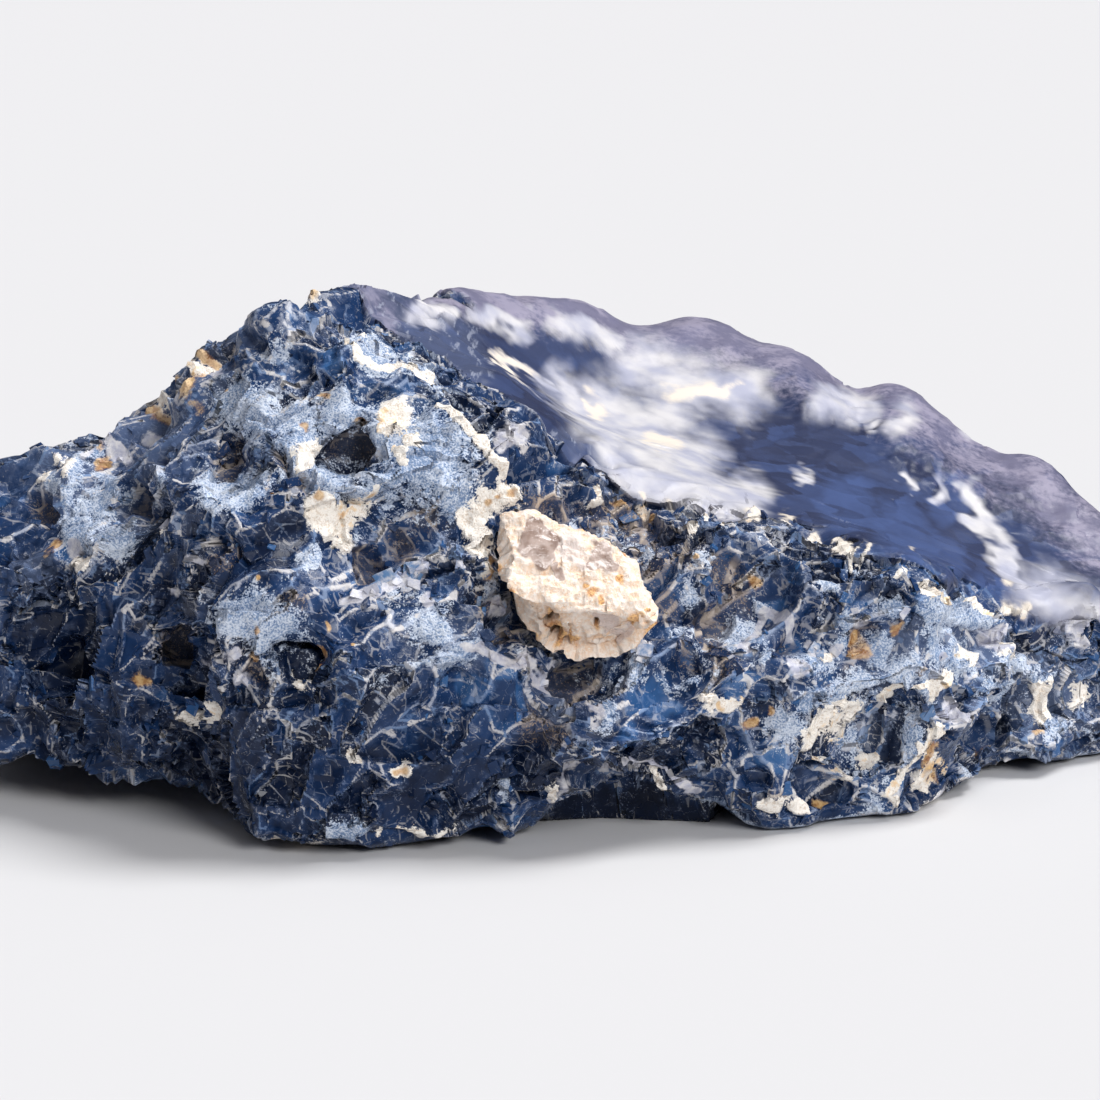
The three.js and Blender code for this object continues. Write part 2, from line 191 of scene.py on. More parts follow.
# Markings of the front, as (across, down, radius) in pixels of the photograph.
FRONT_FROST = [
    (430, 455, 58), (395, 432, 34), (462, 500, 30), (256, 412, 32), (240, 400, 30), (290, 415, 24),
    (300, 440, 26), (340, 410, 30), (390, 480, 30), (330, 480, 24), (210, 470, 20), (235, 480, 22),
    (247, 616, 34), (286, 628, 26), (262, 652, 20), (222, 610, 20), (75, 458, 16), (45, 475, 12),
    (77, 525, 24), (105, 484, 16), (110, 538, 16), (100, 448, 14), (95, 500, 14), (350, 838, 18),
    (628, 668, 16), (433, 625, 22), (468, 642, 20), (604, 706, 14), (450, 660, 12),
    (790, 724, 24), (845, 700, 22), (820, 660, 20), (900, 610, 18), (960, 600, 22), (880, 650, 16),
    (940, 650, 20), (980, 620, 14), (910, 740, 20), (760, 655, 12), (700, 560, 8), (830, 585, 8),
    (690, 590, 9), (850, 640, 10), (1000, 690, 14), (760, 600, 8), (640, 620, 8), (160, 470, 8),
    (310, 560, 10), (500, 800, 8), (205, 500, 12), (1060, 720, 16), (1030, 760, 12), (930, 690, 16),
    *stroke(9, (352, 336), (392, 362), (432, 376)),
    (905, 668, 18), (935, 618, 18), (872, 684, 14), (1015, 662, 16), (968, 660, 16), (855, 620, 12),
    (815, 700, 14),
]
# Wide zones of the front where frost comes and goes.
FRONT_DUSTY = [
    (330, 430, 130), (90, 490, 70), (250, 620, 70), (430, 640, 80), (600, 690, 70), (620, 560, 90),
    (760, 620, 150), (900, 640, 150), (860, 740, 100), (560, 560, 120), (1040, 700, 90), (420, 560, 90),
]
FRONT_CRUST = [
    (398, 416, 18), (388, 428, 9), (415, 441, 10), (402, 456, 9), (312, 451, 15), (320, 512, 20),
    (335, 524, 17), (352, 521, 18), (371, 508, 13), (346, 543, 12), (381, 494, 8), (475, 521, 14),
    (502, 497, 24), (483, 519, 17), (487, 543, 14), (519, 492, 10), (492, 562, 9), (470, 540, 9),
    (295, 679, 8), (400, 768, 10), (186, 722, 6), (415, 838, 12), (444, 848, 14), (384, 848, 10),
    (354, 757, 6), (833, 727, 18), (818, 742, 15), (852, 712, 11), (862, 754, 8), (839, 770, 9),
    (919, 747, 8), (934, 787, 12), (946, 770, 13), (890, 808, 7), (975, 659, 10), (1010, 655, 10),
    (711, 706, 12), (776, 812, 14), (804, 813, 11), (61, 455, 12), (73, 556, 9), (38, 472, 9),
    (150, 521, 6), (34, 787, 7), (830, 655, 9), (742, 582, 4), (600, 497, 6),
    (640, 500, 7), (690, 520, 6), (1045, 700, 14), (1085, 690, 12), (560, 800, 6), (660, 797, 7),
    *stroke(6, (440, 405), (465, 412), (480, 428), (495, 450), (512, 468)),
    *stroke(7, (700, 698), (718, 707), (738, 706)),
    *stroke(6, (880, 715), (905, 700), (940, 690), (958, 676)),
    *stroke(6, (950, 722), (930, 745), (900, 775), (880, 800)),
    *stroke(6, (181, 726), (196, 722), (200, 706)),
    *stroke(4, (352, 336), (368, 350), (392, 362), (415, 370), (432, 376)),
    (208, 362, 9), (196, 372, 11), (186, 388, 10), (166, 392, 7), (152, 402, 8), (309, 300, 9), (112, 440, 6),
]
FRONT_MILK = [
    *stroke(8, (356, 592), (378, 588), (400, 578), (424, 568)),
    (412, 575, 13), (640, 648, 12), (224, 662, 10), (197, 668, 8), (455, 560, 6), (430, 596, 8),
    (505, 600, 10), (822, 643, 10), (843, 647, 9), (560, 668, 12), (540, 660, 9), (590, 705, 10),
    (800, 672, 9), (866, 628, 9), (235, 690, 8), (510, 434, 14), (1000, 640, 16), (960, 705, 12),
    *stroke(5, (462, 640), (500, 655), (535, 665), (560, 680), (580, 690)),
    *stroke(4, (745, 640), (765, 600), (800, 635)),
    *stroke(4, (556, 803), (606, 793), (645, 780), (690, 790), (712, 812)),
    (226, 352, 9), (212, 372, 7), (176, 402, 8), (140, 428, 8), (118, 452, 9), (88, 448, 9), (62, 452, 10),
    (70, 545, 8), (192, 560, 6), (172, 590, 6),
]
# Where a thin lilac veil lies over the front.
FRONT_VEIL = [
    (150, 430, 60), (60, 465, 60), (205, 380, 36), (110, 520, 40), (245, 330, 30), (30, 560, 30),
    (990, 650, 44), (900, 660, 40),
    (1050, 690, 60), (940, 700, 30), (470, 640, 36), (560, 690, 30), (260, 300, 24),
    (620, 480, 24), (1000, 760, 30),
]
FRONT_RUST = [
    (497, 566, 7), (500, 558, 4),
    (224, 391, 4), (256, 479, 4), (255, 575, 4), (315, 394, 5), (337, 615, 4), (362, 636, 4),
    (251, 627, 4), (312, 655, 7), (309, 668, 5), (322, 500, 6), (381, 495, 5), (505, 497, 6),
    (495, 505, 6), (519, 491, 6), (869, 653, 11), (860, 640, 6), (833, 769, 6), (940, 753, 12),
    (946, 783, 9), (936, 765, 8), (831, 803, 6), (144, 684, 7), (766, 714, 7), (752, 733, 7),
    (150, 404, 10), (190, 388, 13), (206, 358, 8), (166, 376, 6), (104, 441, 9), (109, 464, 7),
    (49, 539, 9), (309, 299, 8),
    (757, 577, 7), (893, 632, 7), (697, 560, 5), (728, 708, 5), (251, 672, 7), (300, 425, 5),
    (352, 430, 6), (400, 768, 7), (442, 847, 7), (1000, 740, 7), (1040, 725, 7), (620, 500, 6), (650, 505, 5),
]
# Smoky brown zones of the front, many in pits and hollows, where their darkening is partly painted shade.
FRONT_UMBER_AND_SHADE = [
    (228, 455, 22), (283, 462, 14), (214, 541, 14), (497, 566, 5), (205, 558, 8), (310, 481, 14),
    (348, 448, 19),
    (135, 499, 14), (31, 502, 14), (427, 512, 22), (402, 543, 18), (369, 564, 18), (543, 728, 26),
    (251, 684, 14), (171, 650, 16), (583, 672, 18), (542, 503, 14), (566, 513, 14),
    (630, 520, 32), (600, 510, 18), (652, 555, 22), (690, 550, 22), (718, 622, 24), (728, 574, 22),
    (787, 647, 20), (726, 664, 20), (860, 683, 18), (910, 678, 18), (740, 600, 22), (866, 632, 12),
    (785, 808, 16), (959, 735, 10), (489, 602, 14), (520, 630, 14),
    (830, 690, 10), (600, 640, 12), (660, 610, 18), (690, 640, 14), (300, 600, 16),
]
# Darker zones of the front: partly darker stone, and partly painted shade on the left side, along the foot,
# under the arch and in the gap under the lump.
FRONT_DARK_AND_SHADE = [
    (60, 640, 70), (130, 600, 50), (20, 560, 40), (150, 680, 50), (200, 610, 30), (30, 700, 60),
    *stroke(13, (500, 415), (560, 455), (610, 490), (660, 515), (740, 545), (820, 572), (900, 592),
            (960, 618)),
    (120, 740, 80), (330, 795, 90), (560, 775, 60), (230, 760, 70), (450, 790, 70), (640, 790, 60),
    (345, 452, 26), (279, 533, 34), (880, 735, 22), (256, 560, 24), (180, 655, 14), (295, 663, 18),
    (266, 749, 20), (283, 545, 22),
    (314, 766, 22), (364, 791, 30), (442, 812, 26), (410, 784, 18), (226, 745, 20), (583, 748, 24),
    (535, 648, 12), (583, 672, 16), (502, 612, 12), (718, 747, 28), (879, 733, 22), (823, 789, 22),
    (762, 789, 18), (52, 674, 32), (40, 576, 22), (120, 770, 40), (60, 770, 34), (180, 780, 30),
    (150, 740, 24), (300, 830, 26), (340, 800, 22), (240, 800, 22), (480, 820, 26), (620, 800, 30),
    (560, 775, 22), (680, 780, 22), (452, 564, 16), (427, 512, 24), (402, 543, 18), (369, 564, 16),
    (700, 600, 20), (20, 730, 30), (720, 640, 14), (600, 730, 20), (500, 770, 20), (170, 560, 20),
]
FRONT_BRIGHT_BLUE = [
    (453, 506, 20), (171, 702, 20), (502, 664, 22), (529, 692, 18), (659, 685, 24), (667, 708, 20),
    (795, 567, 18), (852, 590, 30), (929, 597, 26), (825, 682, 22), (779, 760, 24), (630, 729, 18),
    (640, 700, 18), (726, 551, 18), (165, 457, 16), (760, 690, 16), (895, 790, 18), (470, 690, 18),
    (770, 600, 15), (800, 640, 14), (840, 560, 14), (745, 690, 18), (700, 722, 16), (690, 640, 12),
    (960, 620, 22), (1000, 610, 20), (900, 560, 22), (60, 540, 20), (330, 360, 18), (400, 395, 16),
    (560, 470, 18), (600, 485, 14), (850, 650, 14), (990, 760, 18), (1060, 745, 18), (870, 600, 20),
]

# Knobs of the shoulder: (across, down) in pixels, and the radius and height in millimetres.
KNOBS = [(262, 330, 2.0, 1.0), (184, 386, 1.7, 0.8), (128, 430, 1.4, 0.4), (345, 300, 1.8, 0.3),
         (322, 472, 0.9, 0.5), (370, 478, 0.9, 0.6), (372, 432, 0.7, 0.5), (330, 424, 0.8, 0.4)]

# Small crusts along the front ridge's right half.
RIDGE_CRUSTS = [
    (757, 513, 7), (783, 519, 6), (814, 533, 5), (862, 545, 4), (893, 573, 5), (907, 559, 5),
    (1012, 612, 7), (700, 508, 4), (668, 494, 4), (720, 520, 4), (645, 490, 4), (930, 575, 4),
    *stroke(3, (834, 538), (846, 546), (852, 552)), *stroke(5, (936, 582), (948, 592), (960, 596)),
    *stroke(4, (975, 600), (990, 610)),
]

# Pits of the front: (across, down, radius) in pixels, and the depth in millimetres.
PITS = [
    (228, 455, 19, 0.9), (345, 450, 19, 0.8), (295, 663, 15, 0.7), (174, 655, 14, 1.5), (310, 481, 12, 0.8),
    (283, 460, 12, 0.7), (251, 686, 13, 0.6), (369, 566, 17, 0.8), (135, 499, 20, 1.1), (31, 502, 16, 1.0),
    (214, 541, 18, 0.9), (823, 789, 20, 0.8), (583, 672, 20, 0.9), (510, 622, 16, 0.8),
    (442, 812, 22, 0.7), (52, 674, 30, 1.1), (40, 576, 24, 0.8), (453, 681, 18, 0.5), (640, 525, 24, 0.9),
    (718, 622, 20, 0.8), (728, 574, 20, 0.6), (787, 647, 16, 0.6), (171, 704, 18, 0.7), (449, 734, 18, 0.4),
    (718, 747, 26, 0.6), (364, 791, 24, 0.5), (866, 634, 12, 0.6), (762, 789, 16, 0.7), (300, 372, 14, 0.5),
    (265, 350, 14, 0.7), (1000, 735, 18, 1.0), (959, 735, 10, 0.8), (690, 650, 14, 0.6),
]

# Markings of the worn top, seen over the front ridge.
TOP_MILK = [
    *stroke(26, (636, 362), (690, 378), (740, 396)), *stroke(34, (604, 408), (640, 432), (690, 462)),
    *stroke(18, (560, 380), (596, 420), (628, 466)), *stroke(20, (640, 478), (700, 486), (752, 498)),
    *stroke(7, (497, 360), (520, 368), (548, 384)), *stroke(14, (820, 408), (860, 422)),
    *stroke(12, (556, 320), (610, 338)), *stroke(9, (420, 306), (450, 314)),
    *stroke(10, (476, 316), (520, 326)),
    (668, 410, 30), (898, 433, 14), (876, 438, 6), (941, 492, 6), (803, 475, 7), (969, 446, 8),
    *stroke(4, (898, 474), (912, 486)),
    *stroke(8, (966, 494), (983, 523), (997, 551), (1025, 578), (1053, 600)),
    *stroke(26, (1040, 592), (1070, 608), (1100, 626)), *stroke(4, (828, 553), (850, 562)),
]
TOP_CREAM = [
    *stroke(6, (498, 358), (514, 366), (530, 374)), *stroke(8, (676, 388), (700, 384), (724, 390)),
    *stroke(7, (590, 398), (604, 412)), *stroke(7, (650, 440), (672, 446)), (783, 520, 5), (842, 543, 4),
    (814, 538, 5), (907, 559, 5), (1025, 611, 6), (1010, 580, 5), (943, 588, 6),
]
TOP_LILAC = [
    (368, 296, 24), (392, 312, 14),
    *stroke(26, (430, 286), (500, 300), (575, 304), (640, 322)),
    *stroke(36, (640, 322), (700, 330), (760, 345), (820, 370), (880, 395), (940, 430), (1000, 465),
            (1050, 490), (1100, 535)),
]
TOP_BRIGHT_BLUE = [
    (850, 500, 40), (900, 530, 44), (940, 560, 36), (990, 590, 30), (950, 500, 24), (870, 560, 26),
]
TOP_FLECKED = [(360, 305, 60), (320, 300, 40), (410, 330, 40), (450, 355, 40), (560, 450, 26), (600, 470, 20)]


def dabbed(across, down, dabs):
    """How far inside the nearest dab a place is: 1 in a dab's middle, 0 on its edge, down to -1 outside."""
    nearest = np.full(len(across), 4.0, np.float32)
    across, down = across.astype(np.float32), down.astype(np.float32)
    for x, y, radius in dabs:
        nearest = np.minimum(nearest, ((across - x) ** 2 + (down - y) ** 2) * (1 / radius ** 2))
    return 1 - np.sqrt(nearest)


def grid_faces(rows, columns, starts=True, ends=True):
    """Quads of a grid that closes round its columns, and triangles from its end rings to two poles."""
    corner = np.arange(rows * columns).reshape(rows, columns)
    beside = np.roll(corner, -1, axis=1)
    quads = np.stack([corner[:-1], beside[:-1], beside[1:], corner[1:]], axis=-1).reshape(-1, 4)
    first, last = rows * columns, rows * columns + 1
    start = np.stack([np.full(columns, first), beside[0], corner[0]], axis=-1)
    end = np.stack([np.full(columns, last), corner[-1], beside[-1]], axis=-1)
    return quads.tolist() + start.tolist() * starts + end.tolist() * ends


def with_poles(grid):
    """The grid's points in one list, with the middles of its first and last rings at the end."""
    return np.concatenate([grid.reshape(-1, 3), [grid[0].mean(0), grid[-1].mean(0)]])


def mesh_object(name, points, faces):
    """A smooth-shaded object at the origin from points in millimetres."""
    mesh = bpy.data.meshes.new(name)
    mesh.from_pydata(points * MM, [], faces)
    mesh.shade_smooth()
    made = bpy.data.objects.new(name, mesh)
    bpy.context.collection.objects.link(made)
    return made


def evaluated_points(made):
    """An object's points after its modifiers, in millimetres."""
    mesh = made.evaluated_get(bpy.context.evaluated_depsgraph_get()).data
    flat = np.empty(len(mesh.vertices) * 3)
    mesh.vertices.foreach_get("co", flat)
    return flat.reshape(-1, 3) / MM


def blown_onto(node, start, end, radius, tilts, shares, angles):
    """A grid of points on a CAD solid: a thin capsule round a line is blown outwards until it meets it.

    Row i lies at shares[i] of the line and looks tilts[i] towards its end. Column j looks at angles[j]
    round it, from +Y over +Z. A point is line + radius * direction, and Shrinkwrap carries it on.
    """
    start, end = np.array(start), np.array(end)
    axis = (end - start) / np.linalg.norm(end - start)
    up = np.array([0, 0, 1.0]) - axis * axis[2]
    up /= np.linalg.norm(up)
    back = np.cross(up, axis)
    round_it = np.cos(angles)[:, None] * back + np.sin(angles)[:, None] * up
    look = np.cos(tilts)[:, None, None] * round_it + np.sin(tilts)[:, None, None] * axis
    grid = start + shares[:, None, None] * (end - start) + look * radius
    capsule = mesh_object("capsule", with_poles(grid), grid_faces(len(tilts), len(angles)))
    wrap = capsule.modifiers.new("blow", "SHRINKWRAP")
    wrap.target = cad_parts[node]
    wrap.wrap_method = "PROJECT"
    wrap.use_positive_direction = True
    wrap.use_negative_direction = False
    blown = evaluated_points(capsule)[:-2].reshape(grid.shape)
    bpy.data.objects.remove(capsule)
    return blown


def smoothed(grid, rounds):
    """Every point moves halfway to the mean of its four neighbours, the given number of times."""
    for _ in range(rounds):
        padded = np.concatenate([grid[:1], grid, grid[-1:]])
        neighbours = np.roll(grid, 1, 1) + np.roll(grid, -1, 1) + padded[:-2] + padded[2:]
        grid = grid / 2 + neighbours / 8
    return grid


def grid_normals(grid):
    """Outward unit normals: the step round the grid crossed with the step along it."""
    round_it = np.roll(grid, -1, 1) - np.roll(grid, 1, 1)
    normals = np.cross(round_it, np.gradient(grid, axis=0))
    return normals / np.linalg.norm(normals, axis=2, keepdims=True)


# The skin's grid: tilt of the look in degrees with the share of rows spent on it, and the same for the
# place along the line. The front, which the photograph shows, gets the finest spacing.
FINE = 1.0
ROWS = int(340 * FINE)
COLUMNS = int(320 * FINE)
ROW_TILTS = [(-88, 0), (0, 0.09), (0, 0.84), (88, 0.07)]
ROW_SHARES = [(0, 0), (0, 0.09), (1, 0.84), (1, 0.07)]
COLUMN_ANGLES = [(-25, 0), (35, 0.11), (130, 0.28), (200, 0.47), (335, 0.14)]
SMOOTHING_ROUNDS = int(22 * FINE ** 2)
SHARP_EDGE = math.radians(24)

# The skin is made as bands that share their end rings, so that each has under 200,000 triangles.
SKIN_BANDS = 5

# Behind this line of (along, back) places from the aim, in millimetres, the underside comes down to the
# ground over the reach, so the arch under the front is shallow. It rises again behind the depth, and
# fades out between the first two and the last two of its ends, and between the two heights.
UNDER_WALL = [(-15.0, 9.0), (-1.5, 9.0), (-0.6, 4.6), (2.6, 5.2), (5.2, 4.8), (8.2, 4.4), (9.8, 9.0),
              (14.0, 12.0)]
UNDER_ENDS = (-17.0, -14.0, 13.0, 16.0)
UNDER_REACH = 1.0
UNDER_DEPTH = 6.0
UNDER_RISE = 2.0
UNDER_HEIGHTS = (4.5, 6.0)

# Relief fades out from this height down to the ground, in millimetres.
GROUND_BLEND = 0.5


def refined(grid):
    """The grid with a point put halfway between every two neighbours, along it and round it."""
    longer = np.empty((grid.shape[0] * 2 - 1, *grid.shape[1:]))
    longer[::2] = grid
    longer[1::2] = (grid[:-1] + grid[1:]) / 2
    rounder = np.empty((longer.shape[0], grid.shape[1] * 2, 3))
    rounder[:, ::2] = longer
    rounder[:, 1::2] = (longer + np.roll(longer, -1, axis=1)) / 2
    return rounder


def stone_grid():
    """The stone's smooth skin, as a grid of points and their outward normals."""
    angles = np.radians(steps(COLUMN_ANGLES, COLUMNS + 1)[:-1])
    tilts = np.radians(steps(ROW_TILTS, ROWS))
    grid = blown_onto("agate", SPINE_LEFT, SPINE_RIGHT, SPINE_RADIUS, tilts, steps(ROW_SHARES, ROWS), angles)
    grid = smoothed(refined(smoothed(grid, SMOOTHING_ROUNDS)), 4)
    return grid, grid_normals(grid)


# Where the photograph doesn't show the skin, a marking is noise: the size of its patches in millimetres,
# its seed and octaves, how far it swings, and its level, which keeps its patches rare or common.
HIDDEN_MARKINGS = {
    "frost": (6.0, 33, 3, 2.4, -0.8),
    "crust": (4.5, 34, 3, 2.6, -1.25),
    "milk": (5.0, 32, 2, 2.0, -1.1),
    "worn milk": (11.0, 31, 3, 2.2, -0.3),
    "rust": (2.4, 35, 2, 2.4, -1.45),
    "umber": (4.0, 36, 2, 2.4, -0.9),
    "dark": (5.0, 37, 2, 2.0, -0.5),
    "blue": (4.0, 38, 2, 2.2, -0.9),
    "lilac": (14.0, 39, 2, 2.0, -0.2),
    "flecked": (9.0, 40, 2, 2.0, -0.4),
    "veil": (6.0, 43, 2, 2.0, -0.4),
}

# Dabs are warped by noise of these sizes in millimetres and reaches in pixels.
DAB_WARPS = [(1.7, 9), (0.55, 4)]

# How squarely skin has to face the camera, and how steeply upwards the worn top, from none to all of it.
FRONT_FACING = (-0.05, 0.15)
TOP_FACING = (-0.2, 0.05)
WORN_UPWARD = (0.1, 0.45)
# The picture's margins in pixels, over which the dabs give way to noise.
VIEW_MARGIN = 40
# Skin this far behind the ridge, in millimetres, isn't broken any more.
RIDGE_EDGE = 0.8


def warped_place(points):
    """Where points lie in the photograph, in pixels, pushed about by noise, for ragged outlines."""
    places = []
    for place, seed in zip(photo_place(points), (11, 21)):
        pushes = [noise(points, size, seed + turn) * reach for turn, (size, reach) in enumerate(DAB_WARPS)]
        places.append(place + (pushes[0] + pushes[1]))
    return places


def skin_fields(points, normals):
    """The markings on the skin's points, each as a field that is above 0 inside the marking.

    Front markings hold ahead of the front ridge and top markings behind it, where the camera sees the
    skin. Beyond them each field is noise.
    """
    across, down = warped_place(points)
    behind = points[:, 1] - np.interp(points[:, 0], *np.array(RIDGE).T)
    along = points[:, 0] + SHOULDER_WANDER * noise(points, WANDER_SIZE, 45, 3) * ease(behind, 1, 6)
    behind = np.where(along < LEFT_SHOULDER, np.minimum(behind, 0.5), behind)
    facing = normals @ -AHEAD
    in_view = ease(across, -VIEW_MARGIN, 0) * ease(PHOTO_PIXELS + VIEW_MARGIN - across, 0, VIEW_MARGIN)
    above = (np.interp(across, *np.array(SEEN_RIDGE).T) - down) * PICTURE_WIDTH / PHOTO_PIXELS
    near = (behind < np.interp(points[:, 0], *np.array(SEEN_REACH).T)) & (facing > 0) & (in_view > 0.5)
    behind = np.where(near & (behind > -2), above * 2, behind)
    front = (behind < RIDGE_EDGE) * ease(facing, *FRONT_FACING) * in_view
    top = (behind >= RIDGE_EDGE) * ease(facing, *TOP_FACING) * in_view
    upward = ease(normals[:, 2], *WORN_UPWARD)
    right = ease(along, LEFT_SHOULDER, LEFT_SHOULDER + SHOULDER_BLEND)
    settled = ease(behind, 0.6, 8.0) * upward * right
    worn = ease(behind, 0.6, 3.2) * upward * right

    def field(front_dabs, top_dabs, elsewhere):
        """The dabs where the photograph shows the skin, and the noise elsewhere."""
        seen = front * dabbed(across, down, front_dabs) + top * dabbed(across, down, top_dabs)
        return seen + (1 - front - top) * elsewhere

    def hidden(name):
        """A marking's noise."""
        size, seed, octaves, swing, level = HIDDEN_MARKINGS[name]
        return noise(points, size, seed, octaves) * swing + level

    # The dark field: darker stone and painted shade on the front, darker patches of noise elsewhere.
    dark = field(FRONT_DARK_AND_SHADE, [], hidden("dark"))
    scattered = np.maximum(dabbed(across, down, FRONT_DUSTY), -0.6) * 0.55 + noise(points, 1.5, 30, 3) * 1.5
    scattered -= 0.95 + 0.4 * ease(dark, -0.1, 0.4)
    frost = np.maximum(field(FRONT_FROST, [], hidden("frost") - worn), np.where(front > 0.3, scattered, -1))
    hidden_milk = np.where(worn > 0.5, hidden("worn milk"), hidden("milk"))
    return {
        "frost": frost,
        "crust": field(FRONT_CRUST + RIDGE_CRUSTS, TOP_CREAM + RIDGE_CRUSTS, hidden("crust") - worn * 0.6),
        "milk": field(FRONT_MILK, TOP_MILK, hidden_milk),
        "rust": field(FRONT_RUST, [], hidden("rust")),
        "umber": field(FRONT_UMBER_AND_SHADE, [], hidden("umber") - worn),
        "dark": dark,
        "blue": field(FRONT_BRIGHT_BLUE, TOP_BRIGHT_BLUE, hidden("blue")),
        "lilac": field([], TOP_LILAC, hidden("lilac")) * worn - (1 - worn),
        "flecked": field([], TOP_FLECKED, hidden("flecked")) * worn - (1 - worn),
        "veil": field(FRONT_VEIL, [], hidden("veil") - worn),
        "webbed": np.maximum(dabbed(across, down, FRONT_DUSTY) * front,
                             noise(points, 7, 41, 2) * (1 - front)),
        "worn": worn,
        "settled": settled,
        "front": front,
        "pixels": (across, down),
    }


# The sizes of the three kinds of chips and how far they stand out, in millimetres.
COARSE_CHIP = 2.6
COARSE_RELIEF = 1.15
MIDDLE_CHIP = 1.25
MIDDLE_RELIEF = 0.36
FINE_CHIP = 0.52
FINE_RELIEF = 0.09
# The chips' ridges bend by noise of this size and reach, in millimetres.
BEND_SIZE = 1.5
BEND_REACH = 0.25
# Chips turn from granular to glassy between these shades.
GLASSY_SHADES = (0.30, 0.42)
# The share of the chips' relief that is left where the top is worn, on its crest and where it is flecked,
# and the share of the finer chips' relief away from the front.
WORN_SHARE = 0.06
CREST_SHARE = 0.07
FLECK_SHARE = 0.26
HIDDEN_SHARE = 0.45
# How far the crest is raised, as (pixels across, millimetres), and the swells of the crest and of the top.
CREST_RAISED = [(700, 0.0), (790, 0.6), (900, 0.9), (980, 0.7), (1060, 0.0)]
CREST_SWELL = 0.24
SWELL = 0.22
PIT_WALLS = 5
PIT_STEEPNESS = 2.2


def stone_relief(points, fields):
    """How far the skin stands out along its normals, in millimetres, with the chips' gaps and shades.

    Three sizes of chips fade out on the worn top, less so on its far crest and where it is flecked, and
    partly under frost. The two finer ones are shallower away from the front and on glassy chips. Crust
    adds a thin uneven layer, the worn top swells and its crest is raised, and knobs stand up. A pit sinks
    by depth * clip(PIT_STEEPNESS * (1 - share), 0, 1), its share being its farthest wall's over its radius.
    """
    bends = [noise(points, BEND_SIZE, seed) * BEND_REACH for seed in (51, 52, 53)]
    bent = points + np.stack(bends, axis=1)
    coarse, gap, shade = chips(bent, COARSE_CHIP, 61)
    middle, middle_gap, middle_shade = chips(bent, MIDDLE_CHIP, 62, tilt=2.0)
    fine, _, fine_shade = chips(points, FINE_CHIP, 63, tilt=2.2)
    crest = ease(fields["lilac"], -0.7, 0.2)
    left = WORN_SHARE + CREST_SHARE * crest + FLECK_SHARE * ease(fields["flecked"], -0.3, 0.3)
    broken = 1 - (0.75 * fields["worn"] + 0.25 * fields["settled"]) * (1 - left)
    seen = HIDDEN_SHARE + (1 - HIDDEN_SHARE) * fields["front"]
    frost, crust = ease(fields["frost"], -0.1, 0.4), ease(fields["crust"], -0.05, 0.25)
    glassy = ease(shade, *GLASSY_SHADES)
    out = broken * COARSE_RELIEF * coarse * (1 - 0.30 * frost)
    out += broken * seen * MIDDLE_RELIEF * middle * (1 - 0.70 * glassy) * (1 - 0.25 * frost)
    out -= broken * seen * FINE_RELIEF * fine * (1 - 0.85 * glassy)
    out += crust * broken * (0.10 + 0.16 * noise(points, 0.6, 64, 3))
    out += fields["worn"] * SWELL * noise(points, 5.0, 65, 2)
    across, down = fields["pixels"]
    out += fields["worn"] * crest * np.interp(across, *np.array(CREST_RAISED).T)
    out += fields["worn"] * crest * CREST_SWELL * noise(points, 3.2, 66, 3)
    for x, y, radius, height in KNOBS:
        far = np.linalg.norm(points - points[seats(fields, np.array([x]), np.array([y]))], axis=1)
        out += height * ease(far, radius * 1.4, radius * 0.5)
    for x, y, radius, depth in PITS:
        share = np.full(len(points), -1.0)
        for angle in np.linspace(0, 2 * np.pi, PIT_WALLS, endpoint=False) + x:
            share = np.maximum(share, ((across - x) * np.cos(angle) + (down - y) * np.sin(angle)) / radius)
        out -= fields["front"] * depth * np.clip(PIT_STEEPNESS * (1 - share), 0, 1)
    return out, (gap, middle_gap), (shade, middle_shade, fine_shade)


def seats(fields, across, down):
    """The front's points that lie nearest to places in the photograph, as their numbers."""
    far = np.hypot(fields["pixels"][0] - across[:, None], fields["pixels"][1] - down[:, None])
    return np.argmin(far + 1000 * (fields["front"] < 0.5), axis=1)


# The least and the most that a gap between chips is taken to change per millimetre.
GAP_SLOPES = (0.25, 2 * WALL_SLOPE)


def ridge_distance(gap, grid):
    """The distance to the nearest ridge in millimetres: the gap over its steepest change per millimetre."""
    values = gap[:-2].reshape(grid.shape[:2])
    squares = np.zeros(values.shape)
    for axis in (0, 1):
        length = np.linalg.norm(np.roll(grid, -1, axis) - grid, axis=2)
        change = np.abs(np.roll(values, -1, axis) - values) / length
        squares += np.maximum(change, np.roll(change, 1, axis)) ** 2
    return np.r_[(values / np.clip(np.sqrt(squares), *GAP_SLOPES)).ravel(), gap[-2:]]


def put_attributes(mesh, marks):
    """Stores every mark, three fields to a name, as a vector attribute on the mesh's points."""
    for name, values in marks.items():
        layer = mesh.attributes.new(name, "FLOAT_VECTOR", "POINT")
        layer.data.foreach_set("vector", np.asarray(values, np.float32).ravel())


def underside_drop(points, outward):
    """The share of its height by which each point comes down, on the underside behind the arch."""
    along = points[:, 0] - AIM[0]
    wall = np.interp(along, *np.array(UNDER_WALL).T) + AIM[1]
    drop = ease(points[:, 1], wall, wall + UNDER_REACH) * ease(-outward[:, 2], -0.1, 0.3)
    drop *= 1 - ease(points[:, 1], wall + UNDER_DEPTH, wall + UNDER_DEPTH + UNDER_RISE)
    drop *= ease(along, *UNDER_ENDS[:2]) * (1 - ease(along, *UNDER_ENDS[2:]))
    return drop * (1 - ease(points[:, 2], *UNDER_HEIGHTS))


